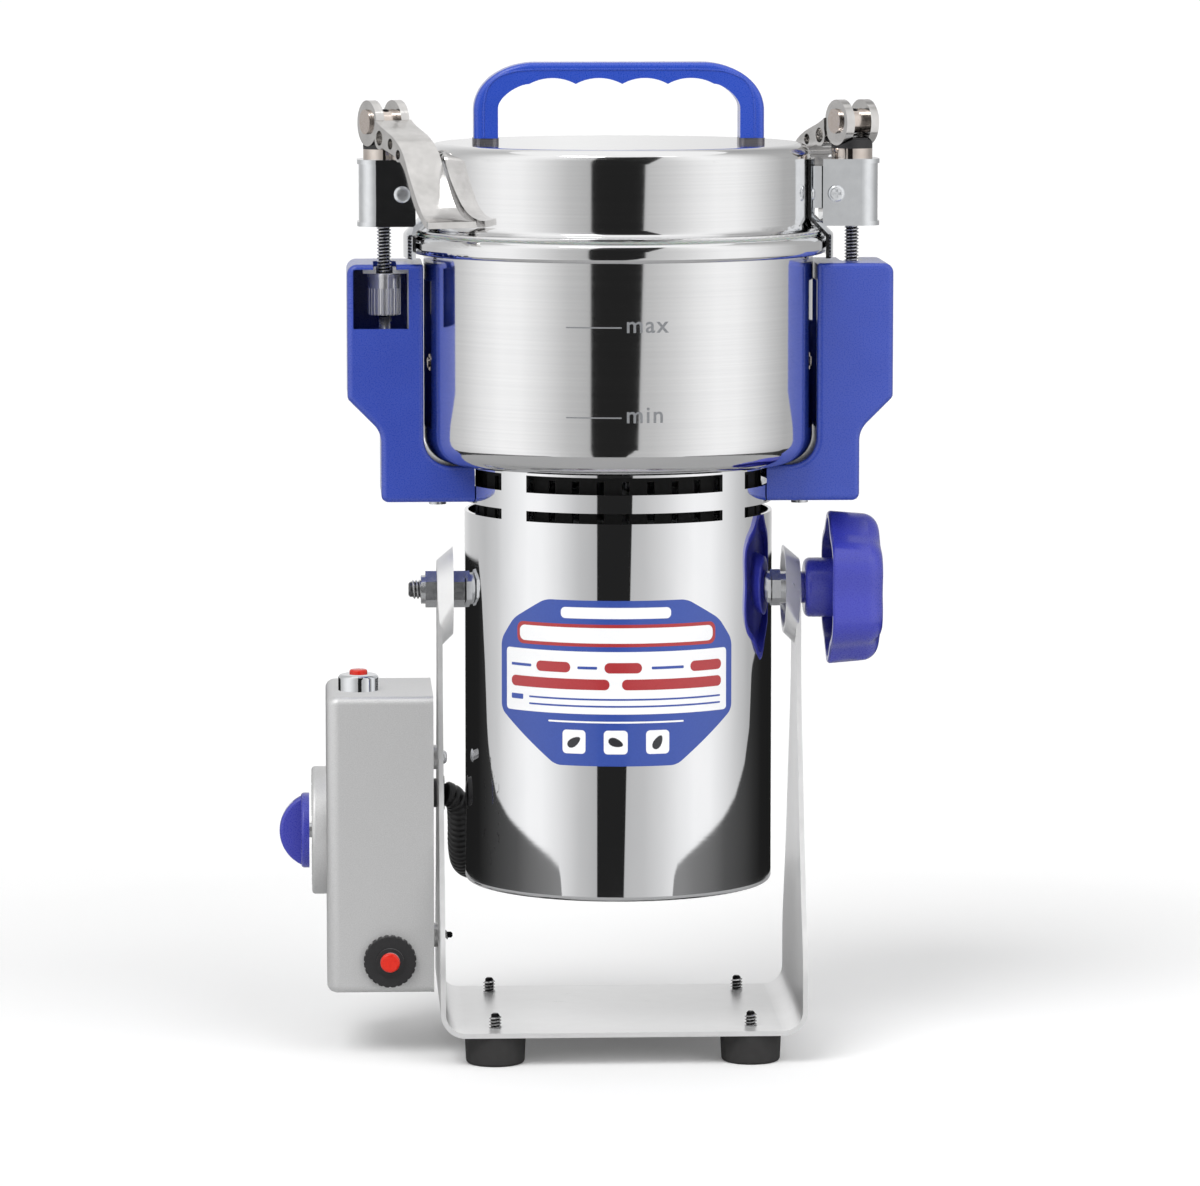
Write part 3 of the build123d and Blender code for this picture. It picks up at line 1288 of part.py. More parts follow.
def build_stand():
    save("stand_yoke", stand_yoke())
    save("rubber_feet", group([Pos(x, y, 0) * rubber_foot() for x, y in foot_places()]))
    save("foot_screws", group([Pos(x, y, 0) * foot_screw() for x, y in foot_places()]))
    save("control_box_shell", control_box_shell())
    save("control_box_back_plate", control_box_back_plate())
    save("box_screws", box_screws())
    save("timer_dial_plate", timer_dial_plate())
    save("timer_body", timer_body())
    save("timer_shaft", timer_shaft())
    save("timer_knob", timer_knob())
    save("power_button_bezel", power_button_bezel())
    save("power_button", power_button())
    save("switch_bodies", group([power_switch_body(), breaker_body()]))
    save("reset_button", reset_button())
    save("reset_ring_nut", reset_ring_nut())
    save("cable_glands", group([mains_cable_gland(), conduit_bush()]))
    save("motor_conduit", motor_conduit())


def build_motor():
    save("conduit_motor_gland", conduit_motor_gland())
    save("motor_housing", motor_housing())
    save("vent_baffle", vent_baffle())
    save("motor_bottom_cover", motor_bottom_cover())
    save("lower_motor_bracket", lower_motor_bracket())
    save("upper_motor_bracket", upper_motor_bracket())
    save("motor_bearings", motor_bearings())
    save("stator_core", stator_core())
    save("field_coils", field_coils())
    save("armature", group([rotor_core(), commutator()]))
    save("carbon_brushes", carbon_brushes())
    save("motor_shaft", motor_shaft())
    save("cooling_fan", cooling_fan())


def build_bowl():
    save("bowl_base_plate", bowl_base_plate())
    save("grinding_bowl", grinding_bowl())
    save("shaft_seal", shaft_seal())
    save("lower_blade", lower_blade())
    save("upper_blade", upper_blade())
    save("blade_nut_and_spacers", group([blade_nut(), *blade_spacers()]))
    save("lid_shell", lid_shell())
    save("lid_gasket", lid_gasket())
    save("handle_ferrules", handle_ferrules())
    save("lid_handle", lid_handle())


def build_latches():
    save("right_side_cover", side_cover())
    save("left_side_cover", opposite(side_cover()))
    save("steel_arms", both_sides(steel_arm()))
    screws = [handle_screw(), *arm_screws(), core_bolt()]
    save("head_screws", group(screws + [opposite(screw) for screw in screws]))
    save("latch_rods", both_sides(latch_rod()))
    pins = [latch_pivot_pin(), latch_barrel()]
    save("latch_pins", group(pins + [opposite(pin) for pin in pins]))
    for side, place in (("right", lambda shape: shape), ("left", opposite)):
        save(f"{side}_lever", place(cam_lever()))
        boxed = [latch_box(), latch_collar(), *latch_screws()]
        save(f"{side}_latch_box", group([place(shape) for shape in boxed]))
        save(f"{side}_saddle_plate", place(saddle_plate()))
        save(f"{side}_cam_saddle", place(cam_saddle()))
        save(f"{side}_knurled_nut", place(knurled_nut()))


def build_pivot():
    save("pivot_stud", pivot_stud())
    save("pivot_nuts", group([*pivot_nuts(), *pivot_spacers(), pivot_lock_nut()]))
    save("star_knob", star_knob())
    save("star_knob_stud", star_knob_stud())


os.makedirs("parts", exist_ok=True)
build_stand()
build_motor()
build_bowl()
build_latches()
build_pivot()
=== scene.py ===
from math import cos, pi, radians, sin

import bpy
from mathutils import Matrix, Vector


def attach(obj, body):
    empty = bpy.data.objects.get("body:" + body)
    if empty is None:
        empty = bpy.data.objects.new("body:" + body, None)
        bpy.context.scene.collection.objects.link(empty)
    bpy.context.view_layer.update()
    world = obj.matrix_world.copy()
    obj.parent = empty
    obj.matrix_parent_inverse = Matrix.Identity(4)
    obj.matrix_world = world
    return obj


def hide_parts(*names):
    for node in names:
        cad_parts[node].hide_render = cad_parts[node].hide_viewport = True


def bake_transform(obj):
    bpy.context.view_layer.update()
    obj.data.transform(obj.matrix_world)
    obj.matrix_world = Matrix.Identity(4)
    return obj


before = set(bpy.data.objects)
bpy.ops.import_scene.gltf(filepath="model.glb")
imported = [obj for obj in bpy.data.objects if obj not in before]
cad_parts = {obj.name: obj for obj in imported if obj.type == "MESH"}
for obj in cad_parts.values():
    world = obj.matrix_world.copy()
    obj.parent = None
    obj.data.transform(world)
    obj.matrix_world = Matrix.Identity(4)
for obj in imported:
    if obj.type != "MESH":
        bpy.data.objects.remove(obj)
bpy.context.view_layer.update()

# Blender works in metres. Sizes are millimetres times MM; the conduit's points are in metres.
MM = 0.001

# Points closer than this to a height are taken to lie at it.
HAIR = 0.01 * MM

# Places and sizes taken over from the part
PIVOT_Z = 189.0 * MM
PLATE_TOP_Z = 14.2 * MM
FOOT_X = 52.0 * MM
FOOT_Y = 40.0 * MM
HOUSING_RADIUS = 62.9 * MM
BOWL_RADIUS = 79.3 * MM
LATCH_X = 95.3 * MM
DIAL_FACE_X = -126.0 * MM
TIMER_Z = 89.7 * MM
KNOB_TIP_X = -139.2 * MM
KNOB_RADIUS = 15.4 * MM
COLLAR_BOTTOM_Z = 364.9 * MM
COMMUTATOR_TOP_Z = 120 * MM
SCREW_HEAD_Y = 11.75 * MM
BOX_SCREW_Z = 45.6 * MM
SADDLE_OUTER_RADIUS = 80.0 * MM
HANDLE_SIDE_Y = 8.0 * MM
CONDUIT_DIAMETER = 10.0 * MM
CONDUIT_POINTS = [
    (-0.0711, 0.0180, 0.1020),
    (-0.0655, 0.0205, 0.1000),
    (-0.0645, 0.0270, 0.0900),
    (-0.0645, 0.0370, 0.0760),
    (-0.0625, 0.0510, 0.0660),
    (-0.0550, 0.0660, 0.0625),
    (-0.0440, 0.0760, 0.0660),
    (-0.0325, 0.0712, 0.0758),
    (-0.02874, 0.05763, 0.0800),
]

# Metric threads: crest radius and pitch; all are drawn coarser than they are, so that they show
M8_THREAD = (4.0 * MM, 1.4 * MM)
M6_THREAD = (3.0 * MM, 1.35 * MM)
M5_THREAD = (2.5 * MM, 1.3 * MM)
M4_THREAD = (2.0 * MM, 1.2 * MM)

# Middles of the label's three small squares, in millimetres from its own middle
LABEL_SQUARES = (-17.0, 0.0, 17.0)


# ---- Nodes and colours ----

def linear(hex_colour):
    """Linear RGBA of an sRGB hex colour."""
    channels = [int(hex_colour[index:index + 2], 16) / 255 for index in (1, 3, 5)]
    curve = [
        value / 12.92 if value <= 0.04045 else ((value + 0.055) / 1.055) ** 2.4
        for value in channels
    ]
    return (*curve, 1.0)


def add(tree, kind, inputs=None, **settings):
    """Adds a node with its settings; an input is given a value, or linked if it is given a socket."""
    made = tree.nodes.new(kind)
    for name, value in settings.items():
        setattr(made, name, value)
    for name, value in (inputs or {}).items():
        if isinstance(value, bpy.types.NodeSocket):
            tree.links.new(value, made.inputs[name])
        else:
            made.inputs[name].default_value = value
    return made


def calculate(tree, operation, *values):
    """Result of a sum on numbers and sockets."""
    return add(tree, "ShaderNodeMath", dict(enumerate(values)), operation=operation).outputs[0]


def vector_sum(tree, operation, *values):
    """Result of a sum on vectors: a vector, or the length of the one it is given."""
    made = add(tree, "ShaderNodeVectorMath", dict(enumerate(values)), operation=operation)
    return made.outputs["Value" if operation == "LENGTH" else "Vector"]


def map_range(tree, value, source=(0.0, 1.0), target=(0.0, 1.0)):
    """Carries a value from one range over to another and holds it there."""
    ends = dict(zip(("From Min", "From Max", "To Min", "To Max"), (*source, *target)))
    return add(tree, "ShaderNodeMapRange", {"Value": value, **ends}).outputs[0]


def colour_between(tree, factor, first, second):
    """Colour from the first to the second, hex values or sockets, as the factor goes from 0 to 1."""
    ends = [linear(tone) if isinstance(tone, str) else tone for tone in (first, second)]
    mixed = add(tree, "ShaderNodeMix", {0: factor, 6: ends[0], 7: ends[1]}, data_type="RGBA")
    return mixed.outputs[2]


def own_place(tree):
    """The piece's own coordinates."""
    return add(tree, "ShaderNodeTexCoord").outputs["Object"]


def own_places(tree):
    """X, Y and Z of the piece's own coordinates, and their distance from the Z axis."""
    x, y, z = add(tree, "ShaderNodeSeparateXYZ", {0: own_place(tree)}).outputs
    flat = add(tree, "ShaderNodeCombineXYZ", {0: x, 1: y}).outputs[0]
    return x, y, z, vector_sum(tree, "LENGTH", flat)


def turned_lines(tree, spacing):
    """Fine lines round the Z axis, on walls and on flat ends alike."""
    swirl_per_metre = 6.0
    x, y, z, reach = own_places(tree)
    along = calculate(tree, "ADD", z, reach)
    across = calculate(tree, "MULTIPLY", along, 1 / spacing / swirl_per_metre)
    stretched = add(tree, "ShaderNodeCombineXYZ", {0: x, 1: y, 2: across}).outputs[0]
    lines = add(
        tree, "ShaderNodeTexNoise",
        {"Vector": stretched, "Scale": swirl_per_metre, "Detail": 3.0, "Roughness": 0.6},
    )
    return lines.outputs["Fac"]


def grain(tree, size, stretch=(1.0, 1.0, 1.0), detail=2.0):
    """Noise whose spots are about one size across, drawn out along an axis by its stretch."""
    scale = tuple(1 / factor for factor in stretch)
    scaled = add(tree, "ShaderNodeMapping", {"Vector": own_place(tree), "Scale": scale}).outputs[0]
    spots = add(
        tree, "ShaderNodeTexNoise",
        {"Vector": scaled, "Scale": 1 / size, "Detail": detail, "Roughness": 0.55},
    )
    return spots.outputs["Fac"]


def bands(tree, place, period, direction, distortion=0.0):
    """Even dark and light bands: a pair to a period along an axis, or to 1.4 across the diagonal."""
    # At a scale of 1 the wave texture turns by this many radians in a metre along an axis.
    own_turn = 20
    made = add(
        tree, "ShaderNodeTexWave",
        {"Vector": place, "Scale": 2 * pi / (own_turn * period), "Distortion": distortion},
        bands_direction=direction,
    )
    return made.outputs["Fac"]


def start_material(name, metallic=0.0, **sockets):
    """A new material and its tree, with constants on its shader's sockets."""
    made = bpy.data.materials.new(name)
    made.use_nodes = True
    inputs = made.node_tree.nodes["Principled BSDF"].inputs
    inputs["Metallic"].default_value = metallic
    for socket, value in sockets.items():
        inputs[socket.replace("_", " ")].default_value = value
    return made, made.node_tree


def drive(tree, socket, value):
    """Links a value to a socket of the tree's shader."""
    tree.links.new(value, tree.nodes["Principled BSDF"].inputs[socket])


def finish_surface(tree, pattern, roughness, depth):
    """Runs the roughness between two values along a pattern and raises the surface by its depth."""
    drive(tree, "Roughness", map_range(tree, pattern, target=roughness))
    raised = add(tree, "ShaderNodeBump", {"Height": pattern, "Strength": 1.0, "Distance": depth})
    drive(tree, "Normal", raised.outputs[0])


def tint(tree, factor, first, second):
    """Runs the colour between two tones along a pattern."""
    drive(tree, "Base Color", colour_between(tree, factor, first, second))


def one_grain(name, metallic, size, roughness, depth, tones, stretch=(1.0, 1.0, 1.0), detail=2.0,
              **sockets):
    """Material in which one grain moves the roughness, the relief and the tone together."""
    made, tree = start_material(name, metallic, **sockets)
    spots = grain(tree, size, stretch, detail)
    finish_surface(tree, spots, roughness, depth)
    tint(tree, spots, *tones)
    return made


# ---- Metals ----

def mirror_polished_stainless():
    """Buffed 304 stainless: near mirror, with a faint haze of wiping and hairline scratches."""
    made, tree = start_material("mirror_polished_stainless", 1.0)
    haze = grain(tree, 14 * MM, (1.0, 1.0, 2.5))
    scratches = grain(tree, 0.5 * MM, (30.0, 30.0, 1.0), 3.0)
    finish_surface(tree, calculate(tree, "MULTIPLY", haze, scratches), (0.02, 0.09), 0.002 * MM)
    tint(tree, haze, "#EEEFF1", "#F7F7F8")
    return made


def satin_brushed_stainless():
    """Spun and satin-brushed stainless: lines round the axis, drawn at 0.9 mm so that they show."""
    made, tree = start_material("satin_brushed_stainless", 1.0)
    lines = turned_lines(tree, 0.9 * MM)
    finish_surface(tree, lines, (0.05, 0.11), 0.0012 * MM)
    tint(tree, lines, "#E9E9EA", "#F5F5F5")
    return made


def linished_sheet_steel():
    """Stand strip: bright sheet with a soft grain along its length and a few handling marks."""
    made, tree = start_material("linished_sheet_steel", 0.65)
    lines = grain(tree, 0.8 * MM, (60.0, 1.0, 60.0), 3.0)
    marks = grain(tree, 9 * MM)
    finish_surface(tree, calculate(tree, "MULTIPLY", lines, marks), (0.26, 0.42), 0.0008 * MM)
    tint(tree, marks, "#F1F1F1", "#FCFCFC")
    return made


def chrome_plating():
    """Bright chrome on pressed sheet: sharp reflections that ripple a little."""
    return one_grain(
        "chrome_plating", 1.0, size=5 * MM, roughness=(0.03, 0.09), depth=0.03 * MM,
        tones=("#DFE1E4", "#EEF0F2"),
    )


def chrome_box_with_nickel_collar():
    """Chromed latch cover, its duller screw heads, and the warm nickel of the collar on top."""
    made, tree = start_material("chrome_box_with_nickel_collar")
    ripple = grain(tree, 5 * MM)
    finish_surface(tree, ripple, (0.03, 0.10), 0.02 * MM)
    y, z = own_places(tree)[1:3]
    on_collar = calculate(tree, "GREATER_THAN", z, COLLAR_BOTTOM_Z + 0.05 * MM)
    on_screw = calculate(tree, "GREATER_THAN", calculate(tree, "ABSOLUTE", y), SCREW_HEAD_Y)
    drive(tree, "Metallic", map_range(tree, on_screw, target=(1.0, 0.6)))
    chrome = colour_between(tree, ripple, "#D9DBDE", "#ECEEF0")
    nickel = colour_between(tree, ripple, "#CBBFB6", "#E4DCD5")
    tint(tree, on_collar, chrome, nickel)
    return made


def warm_nickel_plating():
    """Nickel on turned pins: a soft, slightly pink shine with turning marks."""
    return one_grain(
        "warm_nickel_plating", 1.0, size=0.6 * MM, stretch=(1.0, 8.0, 1.0),
        roughness=(0.12, 0.3), depth=0.006 * MM, tones=("#CBBDB3", "#E6DDD6"),
    )


def bright_nickel_plating():
    """Adjusting nuts: pale, satin-bright plating that stays light inside its blue window."""
    return one_grain(
        "bright_nickel_plating", 0.7, size=1.0 * MM, stretch=(1.0, 1.0, 6.0),
        roughness=(0.1, 0.26), depth=0.003 * MM, tones=("#E4E4E5", "#F8F8F8"),
    )


def zinc_plating():
    """Clear zinc on screws and nuts: pale grey, a little cloudy."""
    return one_grain(
        "zinc_plating", 0.9, size=2.5 * MM, roughness=(0.16, 0.32), depth=0.002 * MM,
        tones=("#CDCFD1", "#E6E7E9"),
    )


def rolled_thread(name, thread, middle, across, root="#1B1B1D"):
    """Rolled zinc thread: bright crests over roots darkened with painted shade, so each turn shows.

    Its axis runs through the middle, and across has a 1 for each direction square to that axis; root
    is the colour of the painted shade in the roots.
    """
    made, tree = start_material(name, 0.9)
    crest, pitch = thread
    # Painted shade: the colour runs from the root tone, deep in the thread's roots, to the zinc tone
    # on its crests.
    painted_shade_reach = crest - 0.60 * pitch
    painted_shade_end = crest - 0.15 * pitch
    unsigned = vector_sum(tree, "ABSOLUTE", own_place(tree))
    offset = vector_sum(tree, "SUBTRACT", unsigned, middle)
    reach = vector_sum(tree, "LENGTH", vector_sum(tree, "MULTIPLY", offset, across))
    rise = map_range(tree, reach, source=(painted_shade_reach, painted_shade_end))
    wear = grain(tree, 1.5 * MM)
    finish_surface(tree, wear, (0.16, 0.34), 0.002 * MM)
    tint(tree, rise, root, colour_between(tree, wear, "#D6D6D7", "#F0F0F0"))
    return made


def turned_steel():
    """Machined shaft steel: lathe lines drawn at 0.5 mm and a thin film of oil."""
    made, tree = start_material("turned_steel", 1.0)
    lines = turned_lines(tree, 0.5 * MM)
    finish_surface(tree, lines, (0.12, 0.34), 0.005 * MM)
    tint(tree, lines, "#A9ACB0", "#CFD2D5")
    return made


def ground_blade_steel():
    """Hardened blade: grinding lines across the bar, a shade darker where it is worn."""
    made, tree = start_material("ground_blade_steel", 1.0)
    finish_surface(tree, grain(tree, 0.6 * MM, (1.0, 25.0, 25.0), 3.0), (0.12, 0.32), 0.006 * MM)
    tint(tree, grain(tree, 7 * MM), "#B4B7BA", "#DADCDE")
    return made


def tumbled_cast_aluminium():
    """Die-cast lever after tumbling: soft shine, faint pits, brighter where hands rub it."""
    made, tree = start_material("tumbled_cast_aluminium", 1.0)
    pits = grain(tree, 1.1 * MM, detail=3.0)
    rubbed = grain(tree, 8 * MM)
    finish_surface(tree, calculate(tree, "MULTIPLY", pits, rubbed), (0.1, 0.32), 0.012 * MM)
    tint(tree, rubbed, "#C2C0BE", "#E8E6E4")
    return made


def sand_cast_aluminium():
    """Unpolished motor bracket: dull grey with the sand's grain."""
    return one_grain(
        "sand_cast_aluminium", 1.0, size=0.9 * MM, detail=5.0,
        roughness=(0.45, 0.7), depth=0.08 * MM, tones=("#8E9092", "#BEC0C2"),
    )


def laminated_iron():
    """Stack of punched core sheets: thin dark lines between dull grey edges, drawn at 1 mm."""
    made, tree = start_material("laminated_iron", 0.9)
    sheets = bands(tree, own_place(tree), 1.0 * MM, "Z")
    finish_surface(tree, sheets, (0.4, 0.65), 0.08 * MM)
    tint(tree, sheets, "#2E2F31", "#77797C")
    return made


def armature_iron_and_copper():
    """Laminated core above, copper commutator bars below, with brush marks round them."""
    made, tree = start_material("armature_iron_and_copper", 0.95)
    lines = turned_lines(tree, 0.8 * MM)
    finish_surface(tree, lines, (0.25, 0.55), 0.03 * MM)
    on_commutator = calculate(tree, "LESS_THAN", own_places(tree)[2], COMMUTATOR_TOP_Z)
    iron = colour_between(tree, lines, "#3A3B3D", "#85878A")
    copper = colour_between(tree, lines, "#8C4A26", "#D98A57")
    tint(tree, on_commutator, iron, copper)
    return made


def enamelled_copper_winding():
    """Bundled magnet wire: strands 1.3 mm apart, coarse enough to show, under amber enamel."""
    made, tree = start_material(
        "enamelled_copper_winding", 0.7, Coat_Weight=0.6, Coat_Roughness=0.15
    )
    z, reach = own_places(tree)[2:]
    rows = add(tree, "ShaderNodeCombineXYZ", {0: reach, 2: z}).outputs[0]
    wires = bands(tree, rows, 0.9 * MM, "DIAGONAL", distortion=0.6)
    finish_surface(tree, wires, (0.2, 0.45), 0.25 * MM)
    tint(tree, wires, "#4E220E", "#B9622B")
    return made


def grey_turned_steel():
    """Handle ferrules: turned sleeves with a satin sheen and fine lathe lines, coloured dark grey as
    painted shade.
    """
    # Painted shade: the dark grey tones stand for plated steel lying in shadow.
    return one_grain(
        "grey_turned_steel", 0.8, size=0.5 * MM, stretch=(20.0, 20.0, 1.0),
        roughness=(0.24, 0.42), depth=0.004 * MM, tones=("#6A686C", "#8F8D92"),
    )


def carbon_graphite():
    """Motor brushes: soft grey-black carbon with a dull metallic shine."""
    return one_grain(
        "carbon_graphite", 0.3, size=0.8 * MM, detail=4.0,
        roughness=(0.45, 0.7), depth=0.04 * MM, tones=("#1D1D1F", "#3C3C40"),
    )


def etched_mark():
    """Level mark etched in the steel: dull grey and slightly rough."""
    return one_grain(
        "etched_mark", 0.1, size=0.5 * MM, detail=4.0,
        roughness=(0.5, 0.75), depth=0.02 * MM, tones=("#6C6E71", "#8F9194"),
    )


# ---- Paint, plastic and rubber ----

def silver_powder_coat():
    """Fine silver powder coat: even grey with tiny bright flakes and a slight orange peel."""
    made, tree = start_material("silver_powder_coat", 0.45, IOR=1.5)
    flakes = grain(tree, 0.45 * MM, detail=3.0)
    peel = grain(tree, 1.8 * MM)
    finish_surface(tree, calculate(tree, "MULTIPLY", flakes, peel), (0.28, 0.5), 0.02 * MM)
    tint(tree, flakes, "#BDBDBD", "#DEDEDE")
    return made


def blue_moulding(name, shade, bright):
    """Glossy moulded ABS in royal blue: the faint grain of the tool and slow flow clouds."""
    made, tree = start_material(name, IOR=1.54, Coat_Weight=0.4, Coat_Roughness=0.12)
    finish_surface(tree, grain(tree, 0.5 * MM, detail=3.0), (0.22, 0.34), 0.004 * MM)
    tint(tree, grain(tree, 22 * MM), shade, bright)
    return made


def black_nylon():
    """Glass-filled nylon: near black, matt, with pale specks of filler."""
    return one_grain(
        "black_nylon", 0.0, size=0.6 * MM, detail=4.0,
        roughness=(0.34, 0.6), depth=0.03 * MM, tones=("#151416", "#2B2A2C"), IOR=1.53,
    )


def corrugated_polyamide():
    """Flexible black conduit: smooth satin plastic with a little dust in its grooves."""
    return one_grain(
        "corrugated_polyamide", 0.0, size=2.0 * MM, detail=3.0,
        roughness=(0.26, 0.5), depth=0.02 * MM, tones=("#0E0E0F", "#222223"), IOR=1.53,
    )


def black_rubber():
    """Moulded rubber feet: matt charcoal with a dusty bloom."""
    return one_grain(
        "black_rubber", 0.0, size=3.0 * MM, detail=4.0,
        roughness=(0.68, 0.92), depth=0.05 * MM, tones=("#201F1F", "#363535"), IOR=1.52,
    )


def red_button_plastic():
    """Glossy red push button, slightly mottled by its pigment."""
    return one_grain(
        "red_button_plastic", 0.0, size=1.0 * MM, roughness=(0.16, 0.3), depth=0.008 * MM,
        tones=("#C8190A", "#E52C16"), IOR=1.5,
    )


def clear_silicone():
    """Lid gasket: milky silicone with a soft sheen."""
    return one_grain(
        "clear_silicone", 0.0, size=1.5 * MM, roughness=(0.4, 0.6), depth=0.02 * MM,
        tones=("#D8D6CF", "#ECEAE4"), IOR=1.41, Subsurface_Weight=0.3, Subsurface_Scale=0.002,
    )


def sooty_black_paint():
    """Inner air ring: dull black paint, darkened nearly to black as painted shade that keeps the
    vents dark.
    """
    # Painted shade: the ring's near-black tones stand for the shade behind the vent slots.
    return one_grain(
        "sooty_black_paint", 0.0, size=1.5 * MM, detail=4.0,
        roughness=(0.82, 0.95), depth=0.02 * MM, tones=("#060606", "#121212"), IOR=1.5,
    )


def printed_film(name, shade, bright):
    """Printed vinyl film: flat ink under a thin gloss, with a hint of halftone."""
    return one_grain(
        name, 0.0, size=0.7 * MM, roughness=(0.28, 0.42), depth=0.004 * MM,
        tones=(shade, bright), IOR=1.5, Coat_Weight=0.5, Coat_Roughness=0.12,
    )


# ---- Ways to work on a piece ----

def put_in_scene(name, data):
    """A new object round its data, linked into the scene."""
    made = bpy.data.objects.new(name, data)
    bpy.context.scene.collection.objects.link(made)
    return made


def select_only(*pieces):
    if bpy.context.object:
        bpy.ops.object.mode_set(mode="OBJECT")
    bpy.ops.object.select_all(action="DESELECT")
    for piece in pieces:
        piece.select_set(True)
    bpy.context.view_layer.objects.active = pieces[0]


def open_mesh(piece, everything=True):
    """Opens a piece in edit mode with all of it selected, or nothing."""
    select_only(piece)
    bpy.ops.object.mode_set(mode="EDIT")
    bpy.ops.mesh.select_mode(type="VERT")
    bpy.ops.mesh.select_all(action="SELECT" if everything else "DESELECT")


def close_mesh():
    bpy.ops.object.mode_set(mode="OBJECT")


def reopen_mesh(kind):
    """Opens the active piece again, with what has been selected in it, in one of the select modes."""
    bpy.ops.object.mode_set(mode="EDIT")
    bpy.ops.mesh.select_mode(type=kind)


def settle(piece, place=Matrix.Identity(4)):
    """Moves a finished piece's mesh to its place and leaves its object at the origin."""
    piece.data.transform(place @ piece.matrix_world)
    piece.matrix_world = Matrix.Identity(4)


def dress(piece, material, body):
    """Gives a finished piece its material and its body."""
    piece.data.materials.clear()
    piece.data.materials.append(material)
    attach(piece, body)


def smooth(piece, degrees=35):
    select_only(piece)
    bpy.ops.object.shade_smooth_by_angle(angle=radians(degrees))


def join(name, *pieces):
    select_only(*pieces)
    bpy.ops.object.join()
    pieces[0].name = name
    pieces[0].data.name = name
    return pieces[0]


def copy_of_part(node, name):
    """A copy of a CAD node's mesh as a new piece, its loose triangles merged."""
    piece = put_in_scene(name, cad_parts[node].data.copy())
    open_mesh(piece)
    bpy.ops.mesh.remove_doubles(threshold=0.001 * MM)
    close_mesh()
    return piece


def cut_away(piece, point, direction, region=None):
    """Cuts off what lies past a plane, of all the piece or of its vertices in a region."""
    open_mesh(piece, everything=region is None)
    if region is not None:
        close_mesh()
        for vertex in piece.data.vertices:
            vertex.select = region(vertex.co)
        reopen_mesh("VERT")
    bpy.ops.mesh.bisect(plane_co=point, plane_no=direction, clear_outer=True, use_fill=True)
    close_mesh()


def bar_with_bevelled_top(sides, radius, low, high, bevel, segments):
    """Round bar along Z with a bevel round its upper end."""
    bpy.ops.mesh.primitive_cylinder_add(
        vertices=sides, radius=radius, depth=high - low, location=(0, 0, (low + high) / 2)
    )
    bar = bpy.context.object
    settle(bar)
    open_mesh(bar, everything=False)
    close_mesh()
    for edge in bar.data.edges:
        ends = [bar.data.vertices[index].co.z for index in edge.vertices]
        edge.select = min(ends) > high - HAIR
    reopen_mesh("EDGE")
    bpy.ops.mesh.bevel(offset=bevel, segments=segments)
    close_mesh()
    return bar


def copied(piece, name, place):
    """A copy of a finished piece with its own mesh, moved by a matrix."""
    twin = put_in_scene(name, piece.data.copy())
    twin.data.transform(place)
    return twin


def smooth_curve(name, places, resolution):
    """Smooth curve that starts and ends at the outer two of its places."""
    curve = bpy.data.curves.new(name, "CURVE")
    curve.dimensions = "3D"
    spline = curve.splines.new("NURBS")
    spline.points.add(len(places) - 1)
    for point, place in zip(spline.points, places):
        point.co = (*place, 1.0)
    spline.order_u = 3
    spline.use_endpoint_u = True
    spline.resolution_u = resolution
    return put_in_scene(name, curve)


# ---- Screw threads ----

def screw_end(name, thread, low, high):
    """Threaded bar along Z with a chamfered tip at its top."""
    crest, pitch = thread
    root = crest - 0.62 * pitch
    tooth_foot = root - 0.1 * pitch
    crest_low = 0.44 * pitch
    crest_high = 0.56 * pitch
    chamfer = 0.5 * pitch
    bpy.ops.mesh.primitive_plane_add(size=1)
    ridge = bpy.context.object
    tooth = [(tooth_foot, 0.0), (crest, crest_low), (tooth_foot, pitch), (crest, crest_high)]
    for vertex, (reach, height) in zip(ridge.data.vertices, tooth):
        vertex.co = (reach, 0.0, low + height)
    open_mesh(ridge)
    bpy.ops.mesh.delete(type="ONLY_FACE")
    close_mesh()
    turns = int((high - low - chamfer) / pitch) - 1
    winding = ridge.modifiers.new("winding", "SCREW")
    winding.screw_offset = pitch
    winding.iterations = turns
    winding.steps = 28
    winding.render_steps = 28
    winding.use_merge_vertices = False
    select_only(ridge)
    bpy.ops.object.modifier_apply(modifier="winding")
    open_mesh(ridge)
    bpy.ops.mesh.fill_holes(sides=4)
    bpy.ops.mesh.select_all(action="SELECT")
    bpy.ops.mesh.normals_make_consistent(inside=False)
    close_mesh()
    core = bar_with_bevelled_top(36, root, low, high, chamfer, 1)
    bar = join(name, core, ridge)
    smooth(bar, 40)
    return bar


def latch_rod(side, direction, thread, zinc):
    """Threaded rod over the tongue that hangs on the pin, right-hand or left-hand."""
    tongue_top = 301.0 * MM
    rod_top = 385.0 * MM
    tongue = copy_of_part("latch_rods", f"{side}_rod_tongue")
    cut_away(tongue, (0, 0, 0), (-direction, 0, 0))
    cut_away(tongue, (0, 0, tongue_top), (0, 0, 1))
    overlap = 2 * MM
    bar = screw_end(f"{side}_rod_thread", M6_THREAD, tongue_top - overlap, rod_top)
    settle(bar, Matrix.Translation((direction * LATCH_X, 0, 0)))
    smooth(tongue, 40)
    dress(bar, thread, "head")
    dress(tongue, zinc, "head")
    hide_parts("latch_rods")
    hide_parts("latch_rods")


